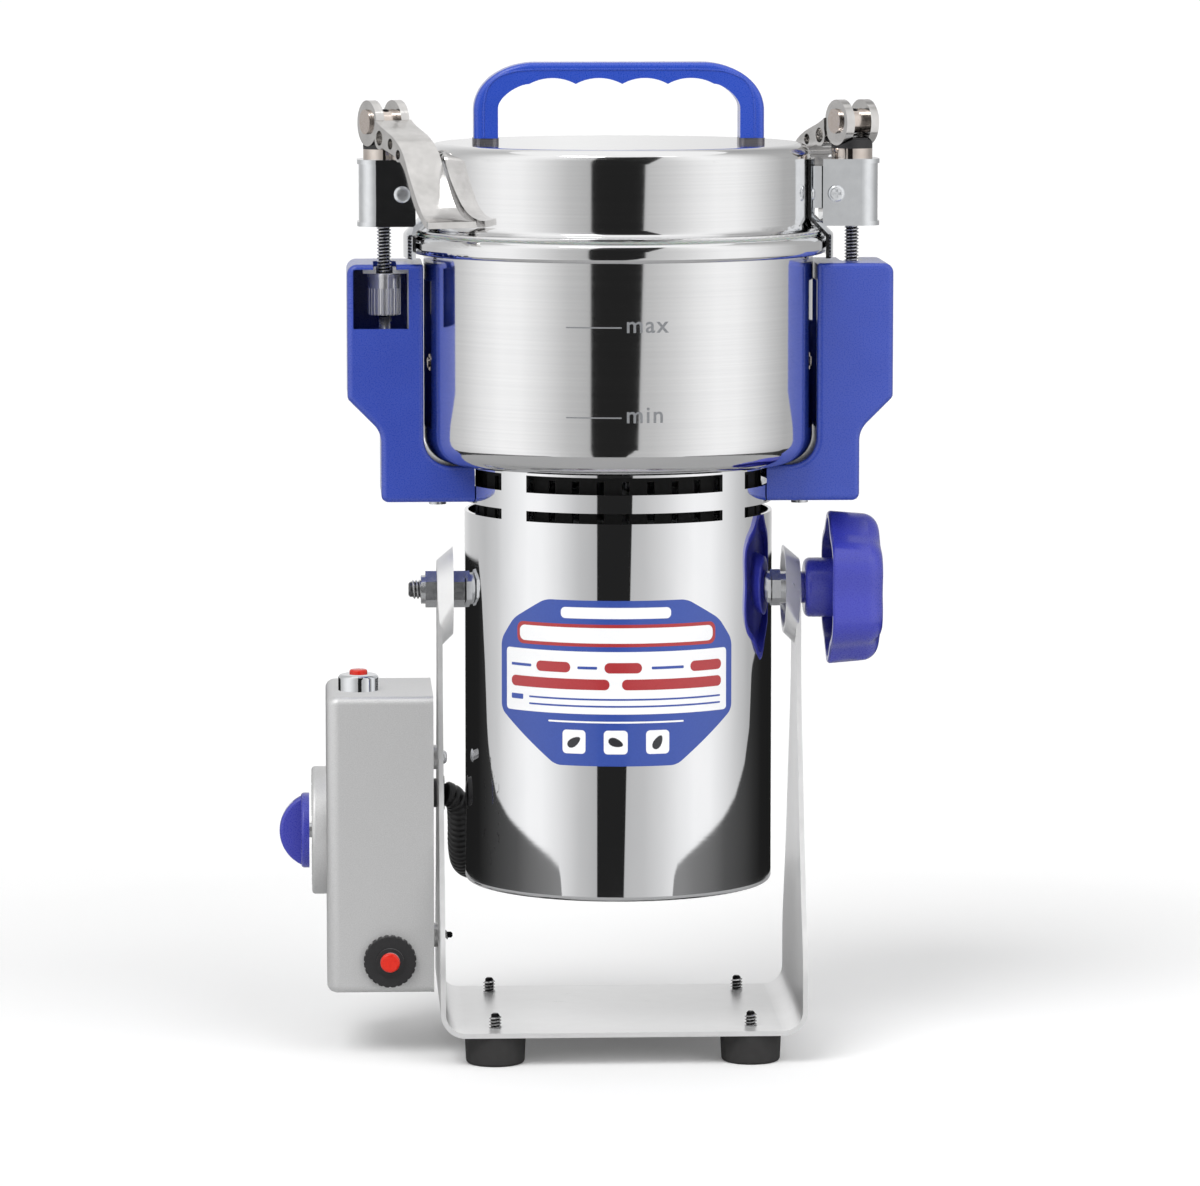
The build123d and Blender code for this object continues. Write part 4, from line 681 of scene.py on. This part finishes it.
def foot_screws(thread, zinc):
    """Screw ends that stand up through the base, one over each foot."""
    cut_z = PLATE_TOP_Z - 0.5 * MM
    thread_foot = PLATE_TOP_Z - 1.4 * MM
    top = 20.2 * MM
    plates = copy_of_part("foot_screws", "foot_screw_plates")
    cut_away(plates, (0, 0, cut_z), (0, 0, 1))
    smooth(plates)
    dress(plates, zinc, "stand")
    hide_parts("foot_screws")
    first = screw_end("foot_screw_thread_1", M5_THREAD, thread_foot, top)
    places = [(x, y, 0) for x in (-FOOT_X, FOOT_X) for y in (-FOOT_Y, FOOT_Y)]
    for number, place in enumerate(places[1:], start=2):
        twin = copied(first, f"foot_screw_thread_{number}", Matrix.Translation(place))
        dress(twin, thread, "stand")
    settle(first, Matrix.Translation(places[0]))
    dress(first, thread, "stand")


def box_screws(thread, zinc):
    """The box's lower screw ends in a thread inside the leg; the upper one shows its dome."""
    leg_inner_x = -72.3 * MM
    cut_x = leg_inner_x - 0.5 * MM
    thread_foot = leg_inner_x - 1.2 * MM
    tip_x = -68.3 * MM
    between_screws_z = 80 * MM
    heads = copy_of_part("box_screws", "box_screw_heads")
    cut_away(heads, (cut_x, 0, 0), (1, 0, 0), lambda spot: spot.z < between_screws_z)
    end = screw_end("box_screw_thread", M4_THREAD, thread_foot, tip_x)
    turn = Matrix.Translation((0, 0, BOX_SCREW_Z)) @ Matrix.Rotation(pi / 2, 4, "Y")
    settle(end, turn)
    smooth(heads, 40)
    dress(end, thread, "stand")
    dress(heads, zinc, "stand")
    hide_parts("box_screws")
    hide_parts("box_screws")


def pivot_stud(thread):
    """Left pivot stud, threaded from end to end."""
    inner_end = 54.0 * MM
    outer_end = 85.9 * MM
    stud = screw_end("pivot_stud_thread", M8_THREAD, inner_end, outer_end)
    turn = Matrix.Translation((0, 0, PIVOT_Z)) @ Matrix.Rotation(-pi / 2, 4, "Y")
    settle(stud, turn)
    dress(stud, thread, "head")
    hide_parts("pivot_stud")


# ---- Conduit ----

def conduit_line():
    """Points along the conduit's smooth centre line, closely spaced."""
    carrier = smooth_curve("conduit_route", CONDUIT_POINTS, 32)
    bpy.context.view_layer.update()
    line = bpy.data.meshes.new_from_object(carrier)
    points = [vertex.co.copy() for vertex in line.vertices]
    bpy.data.objects.remove(carrier)
    return points


def evenly_spaced(points, step):
    """Points a step apart along a line, with both its ends."""
    spaced = [points[0]]
    travelled = 0.0
    target = step
    for before, after in zip(points, points[1:]):
        run = (after - before).length
        while run > 0 and travelled + run >= target:
            spaced.append(before.lerp(after, (target - travelled) / run))
            target += step
        travelled += run
    spaced.append(points[-1])
    return spaced


def corrugated_conduit(black):
    """Ribbed tube from the control box to the motor, with round crests and narrow grooves."""
    rib_pitch = 3.1 * MM
    rings_per_rib = 8
    sides = 40
    crest = CONDUIT_DIAMETER / 2
    groove_depth = 0.9 * MM
    sharpness = 1.5
    centres = evenly_spaced(conduit_line(), rib_pitch / rings_per_rib)
    vertices = []
    across = Vector((0, 1, 0))
    for index, centre in enumerate(centres):
        ahead = centres[min(index + 1, len(centres) - 1)] - centres[max(index - 1, 0)]
        ahead.normalize()
        across = (across - ahead * across.dot(ahead)).normalized()
        upward = ahead.cross(across)
        phase = (index % rings_per_rib) / rings_per_rib
        dip = max(0.0, cos(2 * pi * phase)) ** sharpness
        radius = crest - groove_depth * dip
        for side in range(sides):
            angle = 2 * pi * side / sides
            vertices.append(centre + (across * cos(angle) + upward * sin(angle)) * radius)
    faces = []
    for ring in range(len(centres) - 1):
        for side in range(sides):
            here = ring * sides + side
            beside = ring * sides + (side + 1) % sides
            faces.append((here, beside, beside + sides, here + sides))
    faces.append(tuple(reversed(range(sides))))
    last = (len(centres) - 1) * sides
    faces.append(tuple(range(last, last + sides)))
    mesh = bpy.data.meshes.new("corrugated_conduit")
    mesh.from_pydata(vertices, [], faces)
    conduit = put_in_scene("corrugated_conduit", mesh)
    smooth(conduit, 60)
    conduit.data.materials.append(black)
    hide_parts("motor_conduit")
    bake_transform(conduit)


# ---- Films, marks and lettering: drawn flat, then laid on their surface ----

def flat_patch(name, corners, rounding, thickness):
    """Thin plate with rounded corners; x and y are across and up, and z is its thickness."""
    bpy.ops.mesh.primitive_circle_add(vertices=len(corners), radius=1, fill_type="NGON")
    patch = bpy.context.object
    patch.name = name
    for vertex, (x, y) in zip(patch.data.vertices, corners):
        vertex.co = (x, y, 0.0)
    open_mesh(patch)
    if rounding:
        bpy.ops.mesh.bevel(offset=rounding, segments=5, affect="VERTICES")
        bpy.ops.mesh.select_all(action="SELECT")
    bpy.ops.mesh.extrude_region_move(TRANSFORM_OT_translate={"value": (0, 0, thickness)})
    bpy.ops.mesh.select_all(action="SELECT")
    bpy.ops.mesh.normals_make_consistent(inside=False)
    close_mesh()
    return patch


def rectangle(left, right, low, high):
    return [(left, low), (right, low), (right, high), (left, high)]


def lettering(name, words, width, thickness):
    """Words as a mesh of a given width, standing on their own left foot at the origin."""
    bpy.ops.object.text_add()
    text = bpy.context.object
    text.name = name
    text.data.body = words
    text.data.size = 1.0
    text.data.space_character = 1.15
    text.data.offset = 0.012
    text.data.extrude = 0.01
    select_only(text)
    bpy.ops.object.convert(target="MESH")
    mesh = text.data
    left = min(vertex.co.x for vertex in mesh.vertices)
    right = max(vertex.co.x for vertex in mesh.vertices)
    scale = width / (right - left)
    for vertex in mesh.vertices:
        x, y, z = vertex.co
        vertex.co = ((x - left) * scale, y * scale, thickness if z > 0 else 0.0)
    return text


def wrap_round(piece, radius, lift):
    """Lays a flat drawing round the Z axis, facing the front, a little above the surface."""
    mesh = piece.data
    across = [vertex.co.x for vertex in mesh.vertices]
    strip = 2.0 * MM
    open_mesh(piece)
    cut = strip * (int(min(across) / strip) + 1)
    while cut < max(across):
        bpy.ops.mesh.select_all(action="SELECT")
        bpy.ops.mesh.bisect(plane_co=(cut, 0, 0), plane_no=(1, 0, 0))
        cut += strip
    close_mesh()
    for vertex in mesh.vertices:
        around, height, thickness = vertex.co
        reach = radius + lift + thickness
        vertex.co = (reach * sin(around / radius), -reach * cos(around / radius), height)


def nameless_label(blue, white, red, dark):
    """Maker's film left without words: blue octagon, empty title, white panel, plain red bars."""
    centre_x = -4.2
    film = 0.05 * MM
    outline = [
        (-25, 124.4), (25, 124.4), (52, 145.0), (52, 173.5), (45, 182.5), (29.5, 191.2),
        (-29.5, 191.2), (-45, 182.5), (-52, 173.5), (-52, 145.0),
    ]
    panel = rectangle(-48.8, 48.8, 145.4, 170.6)
    title = rectangle(-43.0, 43.0, 172.6, 181.6)
    title_field = rectangle(-41.6, 41.6, 174.0, 180.2)
    heading = rectangle(-22.5, 22.5, 183.9, 188.4)
    bars = [
        rectangle(-33.5, -18.5, 162.0, 166.2), rectangle(-4.5, 10.5, 162.0, 166.2),
        rectangle(31, 46, 162.0, 166.2), rectangle(-46, -2.5, 155.2, 159.5),
        rectangle(2.5, 46, 155.2, 159.5),
    ]
    rules = [
        rectangle(-46, -36, 163.5, 164.6), rectangle(-15.5, -7.5, 163.5, 164.6),
        rectangle(14.5, 28, 163.5, 164.6), rectangle(-37, 45.5, 151.0, 151.7),
        rectangle(-37, 45.5, 148.2, 148.9), rectangle(-46, -40, 150.0, 152.1),
        rectangle(-28, 28, 141.8, 142.5),
    ]
    squares = [rectangle(x - 4.8, x + 4.8, 129.3, 138.9) for x in LABEL_SQUARES]
    sheets = [
        ("label_film", [outline], 2.5, 1, blue),
        ("label_panel", [panel], 1.5, 2, white),
        ("label_title", [title], 3.0, 2, red),
        ("label_title_field", [title_field], 2.4, 3, white),
        ("label_heading", [heading], 1.8, 2, white),
        ("label_bars", bars, 2.0, 3, red),
        ("label_rules", rules[:-1], 0.3, 3, blue),
        ("label_footing", rules[-1:], 0.3, 2, white),
        ("label_squares", squares, 1.6, 2, white),
    ]
    for name, shapes, rounding, layer, ink in sheets:
        made = []
        for number, corners in enumerate(shapes):
            scaled = [((x + centre_x) * MM, y * MM) for x, y in corners]
            patch = flat_patch(f"{name}_{number}", scaled, rounding * MM, film)
            wrap_round(patch, HOUSING_RADIUS, (layer - 0.5) * film)
            made.append(patch)
        sheet = join(name, *made)
        smooth(sheet)
        dress(sheet, ink, "head")
    seed_marks(centre_x, film, dark)


def seed_marks(centre_x, film, dark):
    """A plain seed shape in each small square of the label."""
    centre_z = 134.0
    half_length = 3.1
    half_width = 1.7
    taper = 0.25
    corners = 14
    made = []
    for number, (x, tilt) in enumerate(zip(LABEL_SQUARES, (35, -20, 60))):
        turn = radians(tilt)
        seed = []
        for step in range(corners):
            angle = 2 * pi * step / corners
            along = half_length * cos(angle)
            beside = half_width * sin(angle) * (1 - taper * cos(angle))
            seed.append((
                (x + centre_x + along * cos(turn) - beside * sin(turn)) * MM,
                (centre_z + along * sin(turn) + beside * cos(turn)) * MM,
            ))
        patch = flat_patch(f"label_seed_{number}", seed, 0.0, film)
        wrap_round(patch, HOUSING_RADIUS, 2.5 * film)
        made.append(patch)
    seeds = join("label_seeds", *made)
    dress(seeds, dark, "head")


def level_marks(etched):
    """Upper and lower filling levels on the bowl: a line and a word each."""
    film = 0.04 * MM
    lift = 0.3 * film
    line_left = -25.0
    line_right = -2.7
    line_half = 0.28
    rounding = 0.25 * MM
    word_left = -0.7
    word_drop = 1.9
    for word, height, width in (("max", 301.6, 16.8), ("min", 265.9, 14.4)):
        corners = rectangle(line_left, line_right, height - line_half, height + line_half)
        scaled = [(x * MM, y * MM) for x, y in corners]
        line = flat_patch(f"{word}_line", scaled, rounding, film)
        letters = lettering(f"{word}_letters", word, width * MM, film)
        foot = Matrix.Translation((word_left * MM, (height - word_drop) * MM, 0))
        letters.data.transform(foot)
        wrap_round(line, BOWL_RADIUS, lift)
        wrap_round(letters, BOWL_RADIUS, lift)
        mark = join(f"{word}_level_mark", line, letters)
        dress(mark, etched, "head")


def dial_markings(ink):
    """Minutes round the timer's dial: a tick for each quarter and a number for each minute."""
    film = 0.05 * MM
    minutes = 5
    ticks_per_minute = 4
    degrees_per_minute = 60
    tick_inner = 16.8
    short_end = 18.0
    long_end = 18.6
    thin_half = 0.2
    bold_half = 0.35
    rounding = 0.1 * MM
    number_reach = 21.2
    number_height = 3.4
    on_dial = Matrix((
        (0, 0, -1, DIAL_FACE_X),
        (-1, 0, 0, 0),
        (0, 1, 0, TIMER_Z),
        (0, 0, 0, 1),
    ))
    made = []
    for step in range(minutes * ticks_per_minute + 1):
        whole = step % ticks_per_minute == 0
        end = long_end if whole else short_end
        half = bold_half if whole else thin_half
        corners = rectangle(-half * MM, half * MM, tick_inner * MM, end * MM)
        tick = flat_patch(f"tick_{step}", corners, rounding, film)
        angle = radians(step * degrees_per_minute / ticks_per_minute)
        turn = Matrix.Rotation(-angle, 4, "Z")
        settle(tick, on_dial @ turn)
        made.append(tick)
    for minute in range(minutes + 1):
        figure = lettering(f"figure_{minute}", str(minute), 2.2 * MM, film)
        heights = [vertex.co.y for vertex in figure.data.vertices]
        widths = [vertex.co.x for vertex in figure.data.vertices]
        scale = number_height * MM / (max(heights) - min(heights))
        middle = Vector(((max(widths) + min(widths)) / 2, (max(heights) + min(heights)) / 2, 0))
        angle = radians(minute * degrees_per_minute)
        spot = Vector((sin(angle), cos(angle), 0)) * number_reach * MM
        size = Matrix.Diagonal((scale, scale, 1, 1))
        settle(figure, on_dial @ Matrix.Translation(spot) @ size @ Matrix.Translation(-middle))
        made.append(figure)
    markings = join("dial_markings", *made)
    dress(markings, ink, "stand")


def knob_pointer(white):
    """White line let into the crest of the timer's grip, over its upper half."""
    steps = 10
    half_width = 0.6 * MM
    proud = 0.02 * MM
    depth = 0.4 * MM
    sagitta = 11.2 * MM
    first_angle = 4
    covered_angle = 44
    arc_radius = (sagitta ** 2 + KNOB_RADIUS ** 2) / (2 * sagitta)
    centre_x = KNOB_TIP_X + arc_radius
    reach = arc_radius + proud - depth / 2
    bpy.ops.mesh.primitive_grid_add(x_subdivisions=1, y_subdivisions=steps, size=1)
    line = bpy.context.object
    for vertex in line.data.vertices:
        share = vertex.co.y + 0.5
        angle = radians(first_angle + covered_angle * share)
        vertex.co = (
            centre_x - reach * cos(angle),
            half_width * (1 if vertex.co.x > 0 else -1),
            TIMER_Z + reach * sin(angle),
        )
    open_mesh(line)
    bpy.ops.mesh.normals_make_consistent(inside=False)
    close_mesh()
    thickness = line.modifiers.new("thickness", "SOLIDIFY")
    thickness.thickness = depth
    thickness.offset = 0.0
    select_only(line)
    bpy.ops.object.modifier_apply(modifier="thickness")
    line.name = "timer_pointer"
    dress(line, white, "timer_dial")


# ---- Handle ridges and rivets ----

def handle_ridges(blue):
    """Thin raised rib that follows the handle's outer edge, on its front and on its back."""
    left_half = [
        (-55.0, 373.7), (-55.0, 380.0), (-55.0, 388.5), (-52.5, 396.5), (-44.0, 400.6),
        (-34.0, 401.2), (-20.0, 401.2),
    ]
    rib = [*left_half, (0.0, 401.2), *((-x, z) for x, z in reversed(left_half))]
    made = []
    for number, side in enumerate((-1, 1)):
        places = [(x * MM, side * HANDLE_SIDE_Y, z * MM) for x, z in rib]
        ridge = smooth_curve(f"handle_rib_{number}", places, 8)
        ridge.data.bevel_depth = 0.42 * MM
        ridge.data.bevel_resolution = 3
        ridge.data.use_fill_caps = True
        select_only(ridge)
        bpy.ops.object.convert(target="MESH")
        made.append(ridge)
    ridges = join("handle_ridges", *made)
    smooth(ridges, 60)
    dress(ridges, blue, "head")


def rivet():
    """Flat-topped rivet head along Z with a dimple, its seat at the origin."""
    radius = 2.3 * MM
    height = 1.1 * MM
    rounding = 0.75 * MM
    rim = 0.5 * MM
    dimple_depth = 0.35 * MM
    head = bar_with_bevelled_top(28, radius, 0.0, height, rounding, 4)
    for polygon in head.data.polygons:
        polygon.select = polygon.normal.z > 0.99 and polygon.center.z > height - HAIR
    reopen_mesh("FACE")
    bpy.ops.mesh.inset(thickness=rim)
    bpy.ops.transform.translate(value=(0, 0, -dimple_depth))
    close_mesh()
    smooth(head, 50)
    return head


def saddle_rivets(chrome):
    """Two rivets on each latch saddle, one each side of the latch cover."""
    height = 351.0 * MM
    azimuth = 12.3
    sunk = 0.1 * MM
    seed = rivet()
    for side, facing in (("right", 0), ("left", 180)):
        for name, turn in (("front", -azimuth), ("back", azimuth)):
            place = (
                Matrix.Rotation(radians(facing + turn), 4, "Z")
                @ Matrix.Translation((SADDLE_OUTER_RADIUS - sunk, 0, height))
                @ Matrix.Rotation(pi / 2, 4, "Y")
            )
            head = copied(seed, f"{side}_saddle_rivet_{name}", place)
            dress(head, chrome, f"{side}_clamp")
    bpy.data.objects.remove(seed)


# ---- Finishes of the parts that stay as they are ----

def dress_parts(finishes):
    for material, nodes in finishes:
        for node in nodes:
            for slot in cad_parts[node].material_slots:
                slot.material = material


# ---- Studio ----

def pale_floor():
    """Plain white floor that fades to the background's white, and is grey in reflections."""
    bpy.ops.mesh.primitive_plane_add(size=60)
    floor = bpy.context.object
    floor.name = "floor"
    made, tree = start_material(
        "pale_floor", Roughness=0.9, Specular_IOR_Level=0.1, Emission_Color=linear("#FFFFFF")
    )
    path = add(tree, "ShaderNodeLightPath").outputs
    tint(tree, path["Is Glossy Ray"], "#F8F8F8", "#A8A8A8")
    lift = 0.09
    drive(tree, "Emission Strength", map_range(tree, path["Is Camera Ray"], target=(0.0, lift)))
    floor.data.materials.append(made)


def reflection_screen():
    """Round screen that only reflections see: light sides, a dark slit and a dark foot for steel.

    Its places round the mill are in degrees from the front, and its heights in metres.
    """
    radius = 0.45
    height = 1.0
    slit_left = -17.2
    slit_right = 0.6
    slit_lean = 31.0
    slit_level = 0.017
    slit_blur = 0.5
    foot_blur = 0.002
    side_levels = [
        (-180, 0.90), (-140, 0.60), (-115, 0.54), (-100, 0.64), (-85, 0.86), (-70, 1.01),
        (-58, 0.99), (-45, 0.82), (-30, 0.57), (-18, 0.48), (2, 0.52), (15, 0.57), (28, 0.71),
        (40, 0.88), (52, 0.99), (65, 0.98), (78, 0.82), (90, 0.64), (105, 0.46), (140, 0.40),
        (180, 0.90),
    ]
    foot_heights = [
        (-180, 0.0), (-165, 0.0), (-164, 0.155), (-125, 0.155), (-120, 0.140), (-115, 0.105),
        (-112, 0.073), (-108, 0.060), (-101, 0.046), (-87, 0.0365), (-66, 0.0275), (-52, 0.0215),
        (-45, 0.017), (-43.2, 0.011), (-42.8, 0.0), (35.6, 0.0), (36, 0.011), (39, 0.018),
        (47, 0.0225), (60, 0.0285), (78, 0.037), (90, 0.046), (101, 0.061), (107, 0.077),
        (110, 0.105), (130, 0.130), (138, 0.155), (164, 0.155), (165, 0.0), (180, 0.0),
    ]
    foot_levels = [
        (0, 0.25), (42, 0.25), (52, 0.20), (66, 0.15), (80, 0.09), (100, 0.055), (113, 0.03),
        (126, 0.014), (180, 0.01),
    ]
    bpy.ops.mesh.primitive_cylinder_add(
        vertices=128, radius=radius, depth=height, location=(0, 0, height / 2),
        end_fill_type="NOTHING",
    )
    screen = bpy.context.object
    screen.name = "reflection_screen"
    settle(screen)
    made = bpy.data.materials.new("reflection_screen")
    made.use_nodes = True
    tree = made.node_tree
    tree.nodes.clear()
    x, y, z = own_places(tree)[:3]
    azimuth = calculate(tree, "ARCTAN2", x, calculate(tree, "MULTIPLY", y, -1.0))
    turn = map_range(tree, azimuth, source=(-pi, pi))
    degrees = map_range(tree, turn, target=(-180.0, 180.0))
    share = calculate(tree, "DIVIDE", calculate(tree, "ABSOLUTE", degrees), 180.0)
    sides = ramp(tree, turn, [((angle + 180) / 360, level) for angle, level in side_levels])
    edge = ramp(tree, turn, [((angle + 180) / 360, level) for angle, level in foot_heights])
    dark = ramp(tree, share, [(angle / 180, level) for angle, level in foot_levels])
    above = calculate(tree, "SUBTRACT", z, edge)
    lit = map_range(tree, above, source=(0.0, foot_blur))
    mixed = add(tree, "ShaderNodeMix", {0: lit, 2: dark, 3: sides}).outputs[0]
    right_edge = calculate(tree, "ADD", calculate(tree, "MULTIPLY", z, slit_lean), slit_right)
    past_right = calculate(tree, "SUBTRACT", degrees, right_edge)
    before_left = calculate(tree, "SUBTRACT", slit_left, degrees)
    outside = calculate(tree, "MAXIMUM", past_right, before_left)
    open_side = map_range(tree, outside, source=(0.0, slit_blur))
    banded = add(tree, "ShaderNodeMix", {0: open_side, 2: slit_level, 3: mixed}).outputs[0]
    glow = add(tree, "ShaderNodeEmission", {"Strength": banded}).outputs[0]
    add(tree, "ShaderNodeOutputMaterial", {"Surface": glow})
    screen.data.materials.append(made)
    screen.visible_camera = False
    screen.visible_diffuse = False
    screen.visible_shadow = False


def ramp(tree, factor, stops):
    """Grey level that follows its stops, the first at 0 and the last at 1, along a factor."""
    made = add(tree, "ShaderNodeValToRGB", {0: factor})
    elements = made.color_ramp.elements
    for element, (_, level) in zip(elements, (stops[0], stops[-1])):
        element.color = (level, level, level, 1.0)
    for position, level in stops[1:-1]:
        elements.new(position).color = (level, level, level, 1.0)
    return made.outputs[0]


def soft_sun(name, strength, spread, azimuth, elevation):
    """Soft, even lamp; its spread and its direction are in degrees."""
    lamp = bpy.data.lights.new(name, "SUN")
    lamp.energy = strength
    lamp.angle = radians(spread)
    holder = put_in_scene(name, lamp)
    turn = radians(azimuth)
    rise = radians(elevation)
    towards = Vector((sin(turn) * cos(rise), -cos(turn) * cos(rise), sin(rise)))
    holder.rotation_euler = towards.to_track_quat("Z", "Y").to_euler()


def white_world():
    """White to the camera and in reflections, softer as a light."""
    soft_level = 0.50
    world = bpy.data.worlds.new("studio")
    world.use_nodes = True
    tree = world.node_tree
    path = add(tree, "ShaderNodeLightPath").outputs
    seen = calculate(tree, "MAXIMUM", path["Is Camera Ray"], path["Is Glossy Ray"])
    seen = calculate(tree, "MAXIMUM", seen, path["Is Transmission Ray"])
    sky = tree.nodes["Background"].inputs
    sky["Color"].default_value = linear("#FFFFFF")
    tree.links.new(map_range(tree, seen, target=(soft_level, 1.0)), sky["Strength"])
    bpy.context.scene.world = world


def camera():
    eye = Vector((-125.6, -2396.7, 470.0)) * MM
    target = Vector((-7.4, 0.4, 187.0)) * MM
    lens = bpy.data.cameras.new("camera")
    lens.lens = 176.8
    lens.sensor_width = 36.0
    holder = put_in_scene("camera", lens)
    holder.location = eye
    holder.rotation_euler = (target - eye).to_track_quat("-Z", "Y").to_euler()
    bpy.context.scene.camera = holder


def build_studio():
    camera()
    pale_floor()
    reflection_screen()
    white_world()
    soft_sun("key_lamp", strength=1.4, spread=30, azimuth=-35, elevation=50)
    soft_sun("fill_lamp", strength=0.9, spread=45, azimuth=40, elevation=38)
    bpy.context.scene.view_settings.view_transform = "Standard"


# ---- The mill ----

def keep_out_of_mirror(*nodes):
    """Leaves parts out of reflections, so that the housing shows the screen's clean dark foot."""
    for node in nodes:
        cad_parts[node].visible_glossy = False


def build_mill():
    chrome = chrome_plating()
    zinc = zinc_plating()
    handle_blue = blue_moulding("handle_blue_plastic", "#1F45B4", "#2B50C2")
    dress_parts([
        (mirror_polished_stainless(), ["motor_housing"]),
        (satin_brushed_stainless(), [
            "grinding_bowl", "lid_shell", "bowl_base_plate", "motor_bottom_cover",
        ]),
        (linished_sheet_steel(), ["stand_yoke", "steel_arms"]),
        (chrome, ["power_button_bezel", "right_saddle_plate", "left_saddle_plate"]),
        (grey_turned_steel(), ["handle_ferrules"]),
        (sooty_black_paint(), ["vent_baffle"]),
        (bright_nickel_plating(), ["right_knurled_nut", "left_knurled_nut"]),
        (chrome_box_with_nickel_collar(), ["right_latch_box", "left_latch_box"]),
        (zinc, ["head_screws", "pivot_nuts", "star_knob_stud", "timer_shaft"]),
        (turned_steel(), ["motor_shaft", "motor_bearings", "blade_nut_and_spacers"]),
        (ground_blade_steel(), ["lower_blade", "upper_blade"]),
        (warm_nickel_plating(), ["latch_pins"]),
        (tumbled_cast_aluminium(), ["right_lever", "left_lever"]),
        (sand_cast_aluminium(), [
            "lower_motor_bracket", "upper_motor_bracket", "cooling_fan",
        ]),
        (laminated_iron(), ["stator_core"]),
        (armature_iron_and_copper(), ["armature"]),
        (enamelled_copper_winding(), ["field_coils"]),
        (silver_powder_coat(), [
            "control_box_shell", "timer_dial_plate", "control_box_back_plate",
        ]),
        (handle_blue, ["lid_handle"]),
        (blue_moulding("cover_blue_plastic", "#2C43A6", "#364EB4"), [
            "right_side_cover", "left_side_cover",
        ]),
        (blue_moulding("knob_blue_plastic", "#3237A6", "#4045B6"), ["star_knob", "timer_knob"]),
        (black_nylon(), [
            "reset_ring_nut", "switch_bodies", "timer_body", "cable_glands",
            "conduit_motor_gland", "right_cam_saddle", "left_cam_saddle",
        ]),
        (red_button_plastic(), ["power_button", "reset_button"]),
        (black_rubber(), ["rubber_feet", "shaft_seal"]),
        (clear_silicone(), ["lid_gasket"]),
        (carbon_graphite(), ["carbon_brushes"]),
    ])
    keep_out_of_mirror(
        "stand_yoke", "control_box_shell", "control_box_back_plate", "power_button_bezel",
        "power_button", "timer_dial_plate", "timer_body", "timer_shaft", "timer_knob",
        "switch_bodies", "reset_button", "reset_ring_nut", "steel_arms",
    )
    # Each thread's roots are darkened with painted shade; the stud's painted shade is lighter.
    rod_thread = rolled_thread("rod_thread", M6_THREAD, (LATCH_X, 0.0, 0.0), (1, 1, 0))
    foot_thread = rolled_thread("foot_thread", M5_THREAD, (FOOT_X, FOOT_Y, 0.0), (1, 1, 0))
    box_thread = rolled_thread("box_thread", M4_THREAD, (0.0, 0.0, BOX_SCREW_Z), (0, 1, 1))
    stud_thread = rolled_thread(
        "stud_thread", M8_THREAD, (0.0, 0.0, PIVOT_Z), (0, 1, 1), root="#6E6E70"
    )
    latch_rod("right", 1, rod_thread, zinc)
    latch_rod("left", -1, rod_thread, zinc)
    foot_screws(foot_thread, zinc)
    box_screws(box_thread, zinc)
    pivot_stud(stud_thread)
    corrugated_conduit(corrugated_polyamide())
    nameless_label(
        printed_film("label_blue_ink", "#2A469C", "#3150A8"),
        printed_film("label_white_ink", "#F2F3F5", "#FAFAFA"),
        printed_film("label_red_ink", "#A5262B", "#B53036"),
        printed_film("label_dark_ink", "#232327", "#34343A"),
    )
    level_marks(etched_mark())
    dial_markings(printed_film("dial_black_ink", "#1E1E20", "#2C2C2E"))
    knob_pointer(printed_film("pointer_white_ink", "#F0F0EE", "#FAFAF8"))
    handle_ridges(handle_blue)
    saddle_rivets(chrome)


build_studio()
build_mill()
